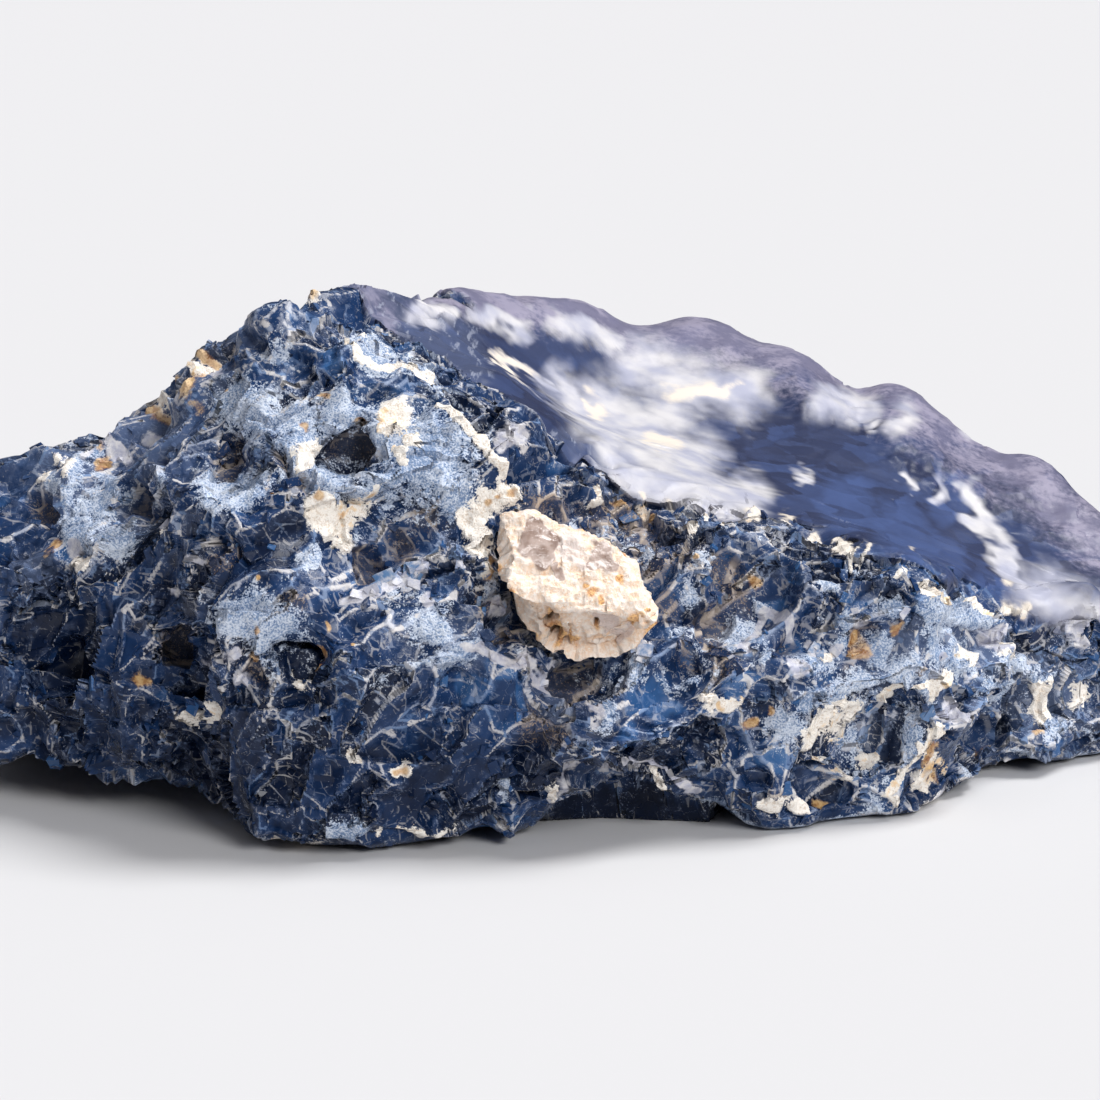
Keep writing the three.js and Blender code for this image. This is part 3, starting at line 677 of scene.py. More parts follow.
def stone_skin():
    """The finished skin: its grid plus relief along the normals, settled on the ground, and its marks.

    The relief fades out near the ground, and the underside comes down behind the arch, where it is painted
    dark and bare as the shade of the recess.
    """
    grid, normals = stone_grid()
    points, outward = with_poles(grid), with_poles(normals)
    fields = skin_fields(points, outward)
    relief, gaps, (shade, middle_shade, fine_shade) = stone_relief(points, fields)
    ridge, middle_ridge = [ridge_distance(gap, grid) for gap in gaps]
    lifted = ease(points[:, 2], 0.0, GROUND_BLEND)
    points = points + outward * (relief * lifted)[:, None]
    lowered = underside_drop(points, outward)
    points[:, 2] = np.maximum(points[:, 2] * (1 - lowered), 0)
    # Painted shade: in the lowered recess the pale markings are cleared and the dark field is raised.
    for name in ("frost", "crust", "milk", "umber", "rust", "veil", "webbed"):
        fields[name] = fields[name] * (1 - lowered) - lowered
    fields["dark"] = np.maximum(fields["dark"], lowered)
    glassy = np.maximum(ease(shade, *GLASSY_SHADES), ease(fields["blue"], 0, 0.4))
    tone = 0.29 + 0.42 * (shade - 0.5) + 0.32 * (middle_shade - 0.5) * (1 - 0.65 * glassy)
    # The dark field, painted shade as well as darker stone, lowers the tone.
    tone += 0.36 * ease(fields["blue"], 0, 0.5) - 0.26 * ease(fields["dark"], -0.1, 0.5)
    grain = ease(middle_shade, 0.25, 0.85) * (1 - 0.75 * glassy)
    marks = {
        "pale": np.stack([fields["frost"], fields["crust"], fields["milk"]], axis=1),
        "stain": np.stack([fields["rust"], fields["umber"], tone], axis=1),
        "form": np.stack([ridge, grain, fields["worn"]], axis=1),
        "skin": np.stack([fields["lilac"], fields["flecked"], middle_ridge], axis=1),
        "edge": np.stack([fields["webbed"], fields["dark"], glassy], axis=1),
        # The haze's middle field is the lowered recess, which the shader darkens as painted shade.
        "haze": np.stack([fields["veil"], lowered, fine_shade], axis=1),
    }
    return grid.shape[:2], points, outward, fields, marks


def make_stone(shape, points, marks):
    """The stone's skin as a row of bands that share their end rings, with poles at the stone's two ends."""
    rows, columns = shape
    rings = np.linspace(0, rows - 1, SKIN_BANDS + 1).astype(int)
    bands = []
    for first, last in zip(rings[:-1], rings[1:]):
        own = np.r_[first * columns:(last + 1) * columns, rows * columns, rows * columns + 1]
        faces = grid_faces(last + 1 - first, columns, first == 0, last == rows - 1)
        band = mesh_object(f"agate_skin_{len(bands) + 1}", points[own], faces)
        put_attributes(band.data, {key: values[own] for key, values in marks.items()})
        band.data.set_sharp_from_angle(angle=SHARP_EDGE)
        bands.append(band)
    return bands


# A splinter is a box whose corners are pushed about, so its twelve triangles all face different ways.
BOX_CORNERS = np.array(list(itertools.product((-1, 1), repeat=3)), float)
BOX_TRIANGLES = np.array([(0, 1, 3), (0, 3, 2), (4, 6, 7), (4, 7, 5), (0, 4, 5), (0, 5, 1),
                          (2, 3, 7), (2, 7, 6), (0, 2, 6), (0, 6, 4), (1, 5, 7), (1, 7, 3)])


def splinter_points(rng, centres, axes, halves, push=0.38):
    """Corners of splinters: centre + the sum over the axes of half size * (corner + a random push) * axis."""
    corners = BOX_CORNERS + rng.uniform(-push, push, (len(centres), 8, 3))
    points = centres[:, None] + np.einsum("nca,na,nax->ncx", corners, halves, axes)
    points[..., 2] = np.maximum(points[..., 2], 0.02)
    return points.reshape(-1, 3)


def splinter_mesh(name, points, marks):
    """Splinters as one flat-shaded mesh, eight points and twelve triangles to each."""
    firsts = np.arange(0, len(points), 8)
    made = mesh_object(name, points, (firsts[:, None, None] + BOX_TRIANGLES).reshape(-1, 3).tolist())
    made.data.shade_flat()
    put_attributes(made.data, {key: np.repeat(values, 8, axis=0) for key, values in marks.items()})
    return made


SPLINTERS = int(2200 * FINE)
SPLINTER_SEED = 81
# From the shortest to the longest splinter in millimetres, and their widths and thicknesses as shares.
SPLINTER_LENGTHS = (0.22, 0.85)
SPLINTER_WIDTHS = (0.4, 0.85)
SPLINTER_THICKNESSES = (0.15, 0.40)
SPLINTER_LEAN = 0.38


def make_splinters(points, outward, fields, marks):
    """Small glassy splinters that stick out of the broken skin, thick on the front and thinner behind."""
    rng = np.random.default_rng(SPLINTER_SEED)
    wanted = (1 - fields["worn"]) * (0.35 + 0.65 * (fields["front"] > 0.5)) * (points[:, 2] > 0.4)
    wanted = wanted * (1 - 0.85 * ease(fields["crust"], -0.1, 0.2))
    wanted = wanted * (1 - 0.55 * ease(fields["frost"], 0, 0.5))
    wanted = wanted * (0.15 + marks["form"][:, 1]) * (0.2 + ease(marks["form"][:, 0], 0.5, 0.0))
    chosen = rng.choice(len(points), SPLINTERS, replace=False, p=wanted / wanted.sum())
    length = SPLINTER_LENGTHS[0] + np.ptp(SPLINTER_LENGTHS) * rng.random(SPLINTERS) ** 3
    length *= 1 - 0.4 * ease(fields["frost"][chosen], 0, 0.4)
    width = length * rng.uniform(*SPLINTER_WIDTHS, SPLINTERS)
    halves = np.stack([length, width, length * rng.uniform(*SPLINTER_THICKNESSES, SPLINTERS)], axis=1) / 2
    third = outward[chosen] + rng.normal(size=(SPLINTERS, 3)) * SPLINTER_LEAN
    third /= np.linalg.norm(third, axis=1, keepdims=True)
    first = np.cross(third, rng.normal(size=(SPLINTERS, 3)))
    first /= np.linalg.norm(first, axis=1, keepdims=True)
    axes = np.stack([first, np.cross(third, first), third], axis=1)
    centres = points[chosen] + outward[chosen] * (halves[:, 2] * rng.uniform(-0.6, 0.2, SPLINTERS))[:, None]
    own = {key: values[chosen].copy() for key, values in marks.items()}
    own["stain"][:, 2] += rng.normal(size=SPLINTERS) * 0.10 + 0.5 * (rng.random(SPLINTERS) < 0.07)
    own["form"][:, 0] = own["skin"][:, 2] = 1.0
    own["form"][:, 1] = rng.random(SPLINTERS) ** 2
    return splinter_mesh("agate_splinters", splinter_points(rng, centres, axes, halves), own)


# Larger milky crystals: (across, down, length, width) in pixels, and the turn from level in degrees.
MILKY_CRYSTALS = [
    (356, 590, 15, 10, 5), (364, 587, 17, 12, 30), (373, 585, 15, 14, 10), (381, 582, 18, 13, 25),
    (389, 579, 14, 15, 50), (397, 579, 17, 14, 0), (404, 575, 16, 17, 30), (412, 572, 18, 18, 60),
    (419, 568, 15, 16, 20), (426, 567, 13, 12, 75), (412, 583, 13, 10, -20), (398, 590, 12, 7, -15),
    (489, 598, 9, 6, 85), (489, 606, 9, 5, 75), (150, 519, 12, 10, 35), (145, 527, 8, 6, 0),
    (196, 674, 13, 8, 70), (200, 664, 8, 7, 20), (822, 641, 13, 10, 60), (825, 650, 9, 7, 10),
    (843, 647, 12, 9, -50), (631, 646, 15, 14, 20), (641, 650, 17, 14, -30), (636, 656, 12, 9, 60),
    (455, 560, 10, 7, 80), (224, 662, 10, 7, 30), (560, 668, 12, 8, 10), (505, 598, 9, 6, -60),
    (802, 672, 10, 7, 30), (235, 690, 9, 7, 10), (470, 600, 9, 6, 40), (960, 640, 13, 9, 70),
    (950, 656, 12, 8, 30), (905, 612, 12, 8, 50), (866, 605, 10, 7, 20), (735, 655, 11, 7, 40),
]
CRYSTAL_SEED = 82
CRYSTAL_SIZE = 0.85
CRYSTAL_THICKNESS = 0.6
CRYSTAL_LEAN = 0.32


def make_crystals(points, outward, fields, marks):
    """Milky crystals lying half sunk in the front, each seated on the skin's point nearest to its place."""
    rng = np.random.default_rng(CRYSTAL_SEED)
    across, down, length, width, turn = np.array(MILKY_CRYSTALS, float).T
    seat = seats(fields, across, down)
    turn = np.radians(turn)[:, None]
    facing = outward[seat] * 0.5 - AHEAD + rng.normal(size=(len(seat), 3)) * CRYSTAL_LEAN
    facing /= np.linalg.norm(facing, axis=1, keepdims=True)
    first = np.cos(turn) * np.array([1.0, 0, 0]) + np.sin(turn) * UPWARD
    first -= facing * (first * facing).sum(1, keepdims=True)
    first /= np.linalg.norm(first, axis=1, keepdims=True)
    axes = np.stack([first, np.cross(facing, first), facing], axis=1)
    sizes = np.stack([length, width, width * CRYSTAL_THICKNESS], axis=1)
    halves = sizes * PICTURE_WIDTH / PHOTO_PIXELS / 2 * CRYSTAL_SIZE
    centres = points[seat] + facing * halves[:, 2:] * 0.1
    own = {key: values[seat].copy() for key, values in marks.items()}
    own["pale"][:] = (-1, -1, 0)
    own["pale"][:, 2] = rng.uniform(0.0, 0.4, len(seat))
    own["stain"][:] = (-1, -1, 1.1)
    own["form"][:] = (1, 0, 0)
    own["skin"][:, 2] = 1.0
    return splinter_mesh("milky_crystals", splinter_points(rng, centres, axes, halves, 0.5), own)


class Shader:
    """A material under construction. Its methods add nodes and give back what comes out of them."""

    def __init__(self, name):
        self.material = bpy.data.materials.new(name)
        self.material.use_nodes = True
        self.tree = self.material.node_tree

    def set(self, socket, value):
        """A socket takes a link from an output, or else a plain value."""
        if isinstance(value, bpy.types.NodeSocket):
            self.tree.links.new(value, socket)
        elif hasattr(socket.default_value, "__len__") and not hasattr(value, "__len__"):
            socket.default_value = (value,) * len(socket.default_value)
        elif hasattr(value, "__len__") and len(value) < len(socket.default_value):
            socket.default_value = (*value, 1.0)
        else:
            socket.default_value = value

    def node(self, kind, output, inputs, **settings):
        """A node of a kind, with its settings and inputs."""
        made = self.tree.nodes.new("ShaderNode" + kind)
        for name, value in settings.items():
            setattr(made, name, value)
        for name, value in inputs.items():
            self.set(made.inputs[name], value)
        return made.outputs[output]

    def math(self, operation, a, b):
        return self.node("Math", 0, {0: a, 1: b}, operation=operation)

    def chain(self, operation, values):
        """One value after the other taken into the total."""
        total = values[0]
        for value in values[1:]:
            total = self.math(operation, total, value)
        return total

    def add(self, *terms):
        return self.chain("ADD", terms)

    def times(self, *factors):
        return self.chain("MULTIPLY", factors)

    def most(self, *values):
        return self.chain("MAXIMUM", values)

    def centred(self, value):
        """A value from 0 to 1, moved to swing about 0."""
        return self.math("SUBTRACT", value, 0.5)

    def ease(self, value, low, high):
        """Smoothstep: 0 at low, 1 at high."""
        return self.node("MapRange", 0, {0: value, 1: low, 2: high}, interpolation_type="SMOOTHSTEP")

    def mix(self, share, a, b):
        """From colour a to colour b."""
        return self.node("Mix", 2, {0: share, 6: a, 7: b}, data_type="RGBA")

    def mix_value(self, share, a, b):
        """From value a to value b."""
        return self.node("Mix", 0, {0: share, 2: a, 3: b}, data_type="FLOAT")

    def parts(self, vector):
        """A vector's three values."""
        return list(self.node("SeparateXYZ", 0, {0: vector}).node.outputs)

    def attribute(self, name):
        """The three fields of a vector attribute."""
        return self.parts(self.node("Attribute", "Vector", {}, attribute_name=name))

    def vector(self, operation, a, b):
        return self.node("VectorMath", 0, {0: a, 1: b}, operation=operation)

    def scaled(self, vector, factor):
        return self.node("VectorMath", 0, {0: vector, 3: factor}, operation="SCALE")

    def millimetres(self):
        """Object coordinates in millimetres."""
        return self.scaled(self.node("TexCoord", "Object", {}), 1 / MM)

    def noise(self, place, size, detail=2.0, roughness=0.5, output=0):
        """Noise with patches of a size in millimetres."""
        return self.node("TexNoise", output, {"Vector": place, "Scale": 1 / size, "Detail": detail,
                                              "Roughness": roughness})

    def warped(self, place, size, reach):
        """The place pushed about by up to half of reach, in patches of the given size."""
        push = self.vector("SUBTRACT", self.noise(place, size, output=1), (0.5, 0.5, 0.5))
        return self.vector("ADD", place, self.scaled(push, reach))

    def cells(self, place, size):
        """Random cells: each cell's own colour, and its middle in cells."""
        made = self.node("TexVoronoi", "Color", {"Vector": place, "Scale": 1 / size})
        return made, made.node.outputs["Position"]

    def cell_edge(self, place, size):
        """The distance to the nearest edge of random cells, in cells."""
        return self.node("TexVoronoi", 0, {"Vector": place, "Scale": 1 / size}, feature="DISTANCE_TO_EDGE")

    def finished(self, inputs, height=None):
        """The material, its surface given inputs and a bump from a height in millimetres."""
        if height is not None:
            inputs["Normal"] = self.node("Bump", 0, {"Strength": 1.0, "Distance": MM, "Height": height})
        for name, value in inputs.items():
            self.set(self.tree.nodes["Principled BSDF"].inputs[name], value)
        return self.material


# The sizes of the crushed facets within a chip and of the meshes of the hairline web, in millimetres.
CRUSH = 0.70
HAIR_CELL = 0.95

# How much quartz bends light.
QUARTZ_IOR = 1.54

# The stone's colours. Where a finish has several, they run from dark to light.
BLUES = [(0.0024, 0.0084, 0.0300), (0.0100, 0.0345, 0.108), (0.033, 0.104, 0.262), (0.130, 0.255, 0.455)]
SLATES = [(0.021, 0.029, 0.073), (0.055, 0.090, 0.225)]
PALE_SPECK = (0.36, 0.42, 0.57)
HAZE = (0.165, 0.215, 0.345)
# Smoke darkens hollows: partly smoky stone, partly painted shade.
SMOKE_AND_SHADE = (0.075, 0.078, 0.105)
BROWN_SPECK = (0.40, 0.26, 0.13)
LINES = [(0.20, 0.30, 0.50), (0.88, 0.84, 0.81)]
TAN_LINE = (0.58, 0.43, 0.28)
FROSTS = [(0.185, 0.275, 0.450), (0.66, 0.72, 0.82)]
LILACS = [(0.200, 0.190, 0.280), (0.365, 0.335, 0.435)]
FLECK_GROUND = (0.13, 0.16, 0.26)
FLECK = (0.40, 0.43, 0.53)
MILKS = [(0.44, 0.45, 0.555), (0.70, 0.68, 0.685)]
CRUSTS = [(0.72, 0.62, 0.52), (0.93, 0.88, 0.81)]
OCHRE = (0.82, 0.52, 0.22)
WORN_CRUST = (0.86, 0.76, 0.62)
RUSTS = [(0.42, 0.19, 0.05), (0.80, 0.52, 0.22)]

# How strongly each finish covers what lies below it.
VEIL_COVER = 0.50
HAZE_COVER = 0.30
SMOKE_COVER = 0.36
FROST_COVER = 0.88
LILAC_COVER = 0.80
MILK_COVER = 0.93
RUST_COVER = 0.75


class StoneShader(Shader):
    """The chalcedony's shader, with the skin's marks and the patterns that its finishes share."""

    def __init__(self, name):
        super().__init__(name)
        self.place = self.millimetres()
        self.bent = self.warped(self.place, 1.3, 0.35)
        self.frost, self.crust, self.milk = self.attribute("pale")
        self.rust, self.umber, self.tone = self.attribute("stain")
        self.ridge, self.grain, self.worn = self.attribute("form")
        self.lilac, self.flecked, self.small_ridge = self.attribute("skin")
        self.webbed, self.dark, self.glassy = self.attribute("edge")
        # The haze's middle field marks the recess under the arch, for its painted shade.
        self.veil, self.sunken, self.fine_shade = self.attribute("haze")
        self.broken = self.math("SUBTRACT", 1.0, self.worn)
        self.fine = self.noise(self.bent, 0.42, 4.0, 0.62)
        self.grit = self.noise(self.place, 0.10, 1.0, 0.6)
        self.drift = self.noise(self.place, 2.6, 2.0)
        self.wobble = self.centred(self.fine)
        self.speck = self.centred(self.grit)
        self.sway = self.centred(self.drift)
        self.facet, self.facet_middle = self.cells(self.bent, CRUSH)
        self.facet_tone, self.facet_pallor = self.parts(self.facet)[:2]
        self.near_edge = self.ease(self.ridge, 0.75, 0.0)
        # Darker stone and painted shade, where pale specks and lines thin out.
        self.dark_and_shaded = self.ease(self.dark, -0.1, 0.6)

    def edged(self, field, low, high, fine_share, grit_share):
        """A marking's mask: its field, roughened by fine noise and grit, then stepped."""
        roughened = self.add(field, self.times(self.wobble, fine_share), self.times(self.speck, grit_share))
        return self.ease(roughened, low, high)


def chip_blue(s):
    """The blue of each chip: its own tone, facets within it, slow drifts, light in its thin edges, and
    painted shade in the recess under the arch.
    """
    unclear = s.times(s.broken, s.mix_value(s.glassy, 1.0, 0.35))
    tone = s.add(s.tone, s.times(s.centred(s.facet_tone), 0.20, unclear),
                 s.times(s.centred(s.fine_shade), 0.14, unclear),
                 s.times(s.wobble, s.add(0.10, s.times(s.grain, 0.3))), s.times(s.sway, 0.4),
                 s.times(s.near_edge, s.broken, 0.12), s.times(s.sunken, -0.5))
    blue = s.mix(s.ease(tone, 0.0, 0.42), BLUES[0], BLUES[1])
    blue = s.mix(s.ease(tone, 0.42, 0.80), blue, BLUES[2])
    blue = s.mix(s.ease(tone, 0.80, 1.20), blue, BLUES[3])
    return s.mix(s.worn, blue, s.mix(s.ease(tone, 0.0, 0.9), *SLATES))


def with_specks(s, colour):
    """Pale specks all over the granular chips, most of all near their edges and in dusty zones."""
    dusty_zone = s.ease(s.add(s.webbed, s.times(s.sway, 2.0), s.times(s.dark_and_shaded, -1.2)), -0.8, 0.6)
    level = s.add(0.76, s.times(s.grain, -0.12), s.times(s.near_edge, -0.07), s.times(dusty_zone, -0.06))
    specks = s.ease(s.add(s.grit, s.times(s.wobble, 0.4)), level, s.add(level, 0.08))
    share = s.times(specks, s.broken, s.mix_value(s.dark_and_shaded, 0.75, 0.40))
    return s.mix(share, colour, PALE_SPECK), specks


def with_haze(s, colour):
    """A thin veil in patches, and haze in the thin edges of chips."""
    veiled = s.edged(s.veil, -0.4, 0.9, 1.6, 0.5)
    hazy = s.times(s.near_edge, s.ease(s.add(s.fine, s.times(s.webbed, 0.15)), 0.42, 0.70))
    share = s.times(s.most(s.times(veiled, VEIL_COVER), s.times(hazy, HAZE_COVER)), s.broken)
    return s.mix(share, colour, HAZE)


def with_smoke_and_shade(s, colour):
    """Smoky hollows with brown specks: the smoke is partly smoky stone and partly painted shade in the
    hollows.
    """
    smoky = s.edged(s.umber, -0.10, 0.65, 1.3, 0.8)
    brown = s.ease(s.add(s.grit, s.times(s.wobble, 0.5)), 0.58, 0.68)
    colour = s.mix(s.times(smoky, SMOKE_COVER), colour, SMOKE_AND_SHADE)
    share = s.times(smoky, brown, s.mix_value(s.dark_and_shaded, 0.60, 0.35))
    return s.mix(share, colour, BROWN_SPECK), smoky


def with_lines(s, colour):
    """Pale edges of chips and facets, wider and brighter where the skin is webbed, and hairline scratches."""
    spread = s.add(s.webbed, s.times(s.wobble, 1.2), s.times(s.sway, 2.4), s.times(s.dark_and_shaded, -0.7))
    web = s.ease(spread, -1.2, 0.8)

    def line(distance, thin, wider, core):
        """A line along distance 0, thin and in the web wider, and solid over the core's share of that."""
        width = s.add(thin, s.times(web, wider))
        return s.ease(distance, width, s.times(width, core))

    ragged = s.add(s.times(s.wobble, 0.16), s.times(s.speck, 0.12))
    rim = line(s.add(s.ridge, ragged), 0.036, 0.140, 0.35)
    small_rim = line(s.add(s.small_ridge, s.times(ragged, 0.25)), 0.030, 0.072, 0.35)
    facet_rim = line(s.cell_edge(s.bent, CRUSH), 0.021, 0.050, 0.0)
    facet_rim = s.times(facet_rim, s.ease(s.fine, 0.48, 0.60))
    hair = s.ease(s.cell_edge(s.warped(s.place, 0.7, 0.9), HAIR_CELL), 0.036, 0.0)
    hair = s.times(hair, s.ease(s.add(s.times(web, 0.3), s.times(s.wobble, 2.0)), 0.20, 0.45))
    inner = s.times(s.most(facet_rim, small_rim, hair), s.mix_value(s.glassy, 0.75, 0.40))
    lines = s.times(s.most(rim, inner), s.broken, s.add(0.44, s.times(web, 0.36)))
    line_colour = s.mix(s.ease(s.facet_pallor, 0.1, 0.8), *LINES)
    line_colour = s.mix(s.times(s.ease(s.umber, -0.3, 0.5), 0.7), line_colour, TAN_LINE)
    return s.mix(lines, colour, line_colour), lines


def with_frost(s, colour):
    """Frost: fine pale crystals over the blue."""
    frosty = s.edged(s.add(s.frost, s.times(s.sway, 1.4)), -0.12, 0.22, 2.4, 1.3)
    level = s.add(s.grit, s.times(s.wobble, 0.6), s.times(s.sway, 0.5))
    frost_colour = s.mix(s.ease(level, 0.34, 0.68), *FROSTS)
    return s.mix(s.times(frosty, s.broken, FROST_COVER), colour, frost_colour), frosty


def with_worn_top(s, colour):
    """The worn top's lilac crest and its drawn-out white flecks."""
    lilac_colour = s.mix(s.ease(s.add(s.drift, s.times(s.wobble, 0.5)), 0.38, 0.62), *LILACS)
    colour = s.mix(s.times(s.edged(s.lilac, -0.4, 0.8, 1.6, 0.0), LILAC_COVER), colour, lilac_colour)
    fleck = s.noise(s.vector("MULTIPLY", s.place, (1.0, 0.16, 1.0)), 0.42, 3.0, 0.6)
    flecky = s.edged(s.flecked, -0.2, 0.4, 0.5, 0.0)
    colour = s.mix(s.times(flecky, 0.30), colour, FLECK_GROUND)
    return s.mix(s.times(s.ease(fleck, 0.55, 0.66), flecky, 0.50), colour, FLECK)


def with_milk(s, colour):
    """Milky zones, with ragged edges on the broken skin, and soft and drawn out on the worn top."""
    softness = s.times(s.worn, 0.5)
    streak = s.centred(s.noise(s.vector("MULTIPLY", s.bent, (0.8, 0.6, 1.0)), 1.3, 5.0, 0.60))
    milky = s.add(s.milk, s.times(s.wobble, s.times(s.broken, 0.75)), s.times(streak, s.worn, 0.5))
    milky = s.ease(milky, s.math("SUBTRACT", -0.06, softness), s.add(0.26, softness))
    level = s.add(s.mix_value(s.worn, s.fine, s.drift), s.times(streak, 0.3))
    return s.mix(s.times(milky, MILK_COVER), colour, s.mix(s.ease(level, 0.32, 0.70), *MILKS))


def with_crust(s, colour):
    """Cream crust with ochre spots, softer and plainer on the worn top."""
    crusty = s.edged(s.crust, -0.04, 0.14, 1.6, 0.5)
    crusty = s.mix_value(s.worn, crusty, s.times(s.edged(s.crust, -0.6, 0.7, 1.2, 0.0), 0.75))
    spots = s.ease(s.add(s.drift, s.times(s.wobble, 0.9)), 0.60, 0.78)
    crust_colour = s.mix(s.ease(s.add(s.grit, s.wobble), 0.25, 0.55), *CRUSTS)
    crust_colour = s.mix(s.times(spots, 0.7), crust_colour, OCHRE)
    return s.mix(crusty, colour, s.mix(s.worn, crust_colour, WORN_CRUST)), crusty


def with_rust(s, colour):
    """Rust stains over everything else."""
    rusty = s.edged(s.rust, -0.1, 0.45, 1.2, 0.4)
    return s.mix(s.times(rusty, RUST_COVER), colour, s.mix(s.ease(s.fine, 0.35, 0.65), *RUSTS))


def fine_relief(s, frosty, crusty):
    """Heights in millimetres: tilted crushed facets, grain and crust."""
    lean = s.vector("SUBTRACT", s.facet, (0.5, 0.5, 0.5))
    off_centre = s.vector("SUBTRACT", s.bent, s.scaled(s.facet_middle, CRUSH))
    tilt = s.node("VectorMath", 1, {0: off_centre, 1: lean}, operation="DOT_PRODUCT")
    dusty = s.times(s.broken, s.most(s.grain, frosty, crusty))
    return s.add(s.times(tilt, s.broken, s.mix_value(s.glassy, 0.42, 0.24)),
                 s.times(s.wobble, s.add(0.012, s.times(dusty, 0.10))),
                 s.times(s.speck, s.add(0.003, s.times(dusty, 0.040))))


def chalcedony():
    """Blue chalcedony: glassy and granular chips, frost, crust, milky zones, stains and pale fractures.

    It is glassy on smooth chips, dull on grain, frost and crust, and satin on the worn top.
    """
    s = StoneShader("chalcedony")
    colour, specks = with_specks(s, chip_blue(s))
    colour, smoky = with_smoke_and_shade(s, with_haze(s, colour))
    colour, lines = with_lines(s, colour)
    colour, frosty = with_frost(s, colour)
    colour, crusty = with_crust(s, with_milk(s, with_worn_top(s, colour)))
    rough = s.add(0.25, s.times(s.grain, 0.16), s.times(specks, 0.15), s.times(s.worn, 0.15),
                  s.times(lines, 0.25))
    rough = s.most(rough, s.times(frosty, s.broken, 0.50), s.times(crusty, 0.85), s.times(smoky, 0.45))
    return s.finished({"Base Color": with_rust(s, colour), "Roughness": rough, "IOR": QUARTZ_IOR,
                       "Specular IOR Level": 0.21}, fine_relief(s, frosty, crusty))


LUMP_ROWS = int(180 * FINE)
LUMP_COLUMNS = int(230 * FINE)
QUARTZ_WINDOWS = [
    (536, 530, 17), (546, 540, 15), (534, 546, 17), (541, 558, 15), (530, 535, 11), (603, 553, 16),
    (608, 564, 12), (597, 560, 11), (562, 571, 7), (556, 566, 6),
]
LUMP_MILKY = [(572, 550, 14), (560, 545, 10), (582, 562, 10), (570, 535, 8)]
LUMP_OCHRE = [
    (548, 622, 11), (560, 620, 8), (548, 640, 9), (566, 648, 9), (552, 650, 8), (640, 617, 9), (648, 625, 8),
    (636, 632, 8), (596, 640, 5), (592, 590, 7), (604, 597, 5), (583, 583, 4), (510, 592, 8), (498, 566, 6),
    (575, 655, 7), (620, 580, 5), (535, 606, 5),
]
LUMP_CRYSTALS = [(637, 648, 15), (626, 652, 10), (612, 634, 13), (600, 626, 9)]
LUMP_HOLES = [(548, 646, 7), (595, 636, 6), (560, 655, 7), (545, 630, 5)]

# The ledge across the lump, below which it falls back, in pixels of the photograph.
LUMP_LEDGE = [(480, 572), (499, 580), (520, 595), (550, 606), (592, 612), (637, 607), (670, 616)]
LEDGE_DEPTH = 0.75

# The lodged lump fills its pocket, past the gap that its CAD solid leaves.
LUMP_FULLNESS = (1.14, 1.0, 1.08)

# Half the line inside the lump from which its crust is blown outwards, and the capsule's radius.
LUMP_SPINE = (0.3, 0, 0)
LUMP_SPINE_RADIUS = 0.2
LUMP_SMOOTHING_ROUNDS = int(5 * FINE ** 2)
LUMP_CHIP = 1.1
LUMP_CRUMB = 0.42

# The lump's colours. Where a finish has several, they run from dark to light.
CREAMS = [(0.86, 0.64, 0.47), (0.92, 0.80, 0.70), (0.94, 0.88, 0.81)]
LOWER_CREAMS = [(0.80, 0.50, 0.28), (0.96, 0.84, 0.73)]
MILKY_CREAM = (0.78, 0.68, 0.66)
SMOKY_GLASS = [(0.22, 0.140, 0.110), (0.45, 0.345, 0.305)]
CLEAR_GLASS = (0.66, 0.53, 0.48)
OCHRE_SPOTS = [(0.46, 0.17, 0.03), (0.88, 0.48, 0.13)]
# Painted shade inside the lump's holes, dark brown.
HOLE_SHADE = (0.10, 0.05, 0.02)


def make_lump():
    """The lodged lump: a ball blown onto its CAD solid, with a ledge, crumbs and smooth quartz windows."""
    low, high = np.array(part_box("matrix_lump")) / MM
    middle = (low + high) / 2
    half = np.array(LUMP_SPINE)
    angles = np.linspace(0, 2 * np.pi, LUMP_COLUMNS, endpoint=False)
    tilts = np.radians(np.linspace(-88, 88, LUMP_ROWS))
    shares = np.linspace(0, 1, LUMP_ROWS)
    spine = (middle - half, middle + half, LUMP_SPINE_RADIUS)
    grid = blown_onto("matrix_lump", *spine, tilts, shares, angles)
    grid = middle + (smoothed(grid, LUMP_SMOOTHING_ROUNDS) - middle) * LUMP_FULLNESS
    points, outward = with_poles(grid), with_poles(grid_normals(grid))
    across, down = photo_place(points)
    across, down = across + noise(points, 0.7, 71) * 5, down + noise(points, 0.7, 72) * 5
    front = ease(outward @ -AHEAD, 0.0, 0.2)
    window, milky, crystal, hole = [front * dabbed(across, down, dabs) - (1 - front)
                                    for dabs in (QUARTZ_WINDOWS, LUMP_MILKY, LUMP_CRYSTALS, LUMP_HOLES)]
    ochre = front * dabbed(across, down, LUMP_OCHRE) + (1 - front) * (noise(points, 1.6, 75, 2) * 2 - 0.6)
    lower = ease(down - np.interp(across, *np.array(LUMP_LEDGE).T), 0, 12) * front
    smooth = np.maximum(ease(window, -0.1, 0.25), 0.7 * ease(crystal, -0.1, 0.3))
    coarse, _, _ = chips(points, LUMP_CHIP, 73, tilt=1.8)
    fine, _, _ = chips(points, LUMP_CRUMB, 74, tilt=2.4)
    out = (1 - smooth) * (0.22 * coarse + 0.18 * fine + 0.26 * noise(points, 0.7, 76, 4))
    out += smooth * (0.05 * coarse - 0.10) - lower * LEDGE_DEPTH - 0.7 * ease(hole, 0.0, 0.7)
    points = points + outward * out[:, None]
    lump = mesh_object("matrix_lump_crust", points, grid_faces(LUMP_ROWS, LUMP_COLUMNS))
    put_attributes(lump.data, {"marks": np.stack([window, ochre, crystal], axis=1),
                               "form": np.stack([lower, hole, milky], axis=1)})
    lump.data.set_sharp_from_angle(angle=SHARP_EDGE * 2)
    return lump


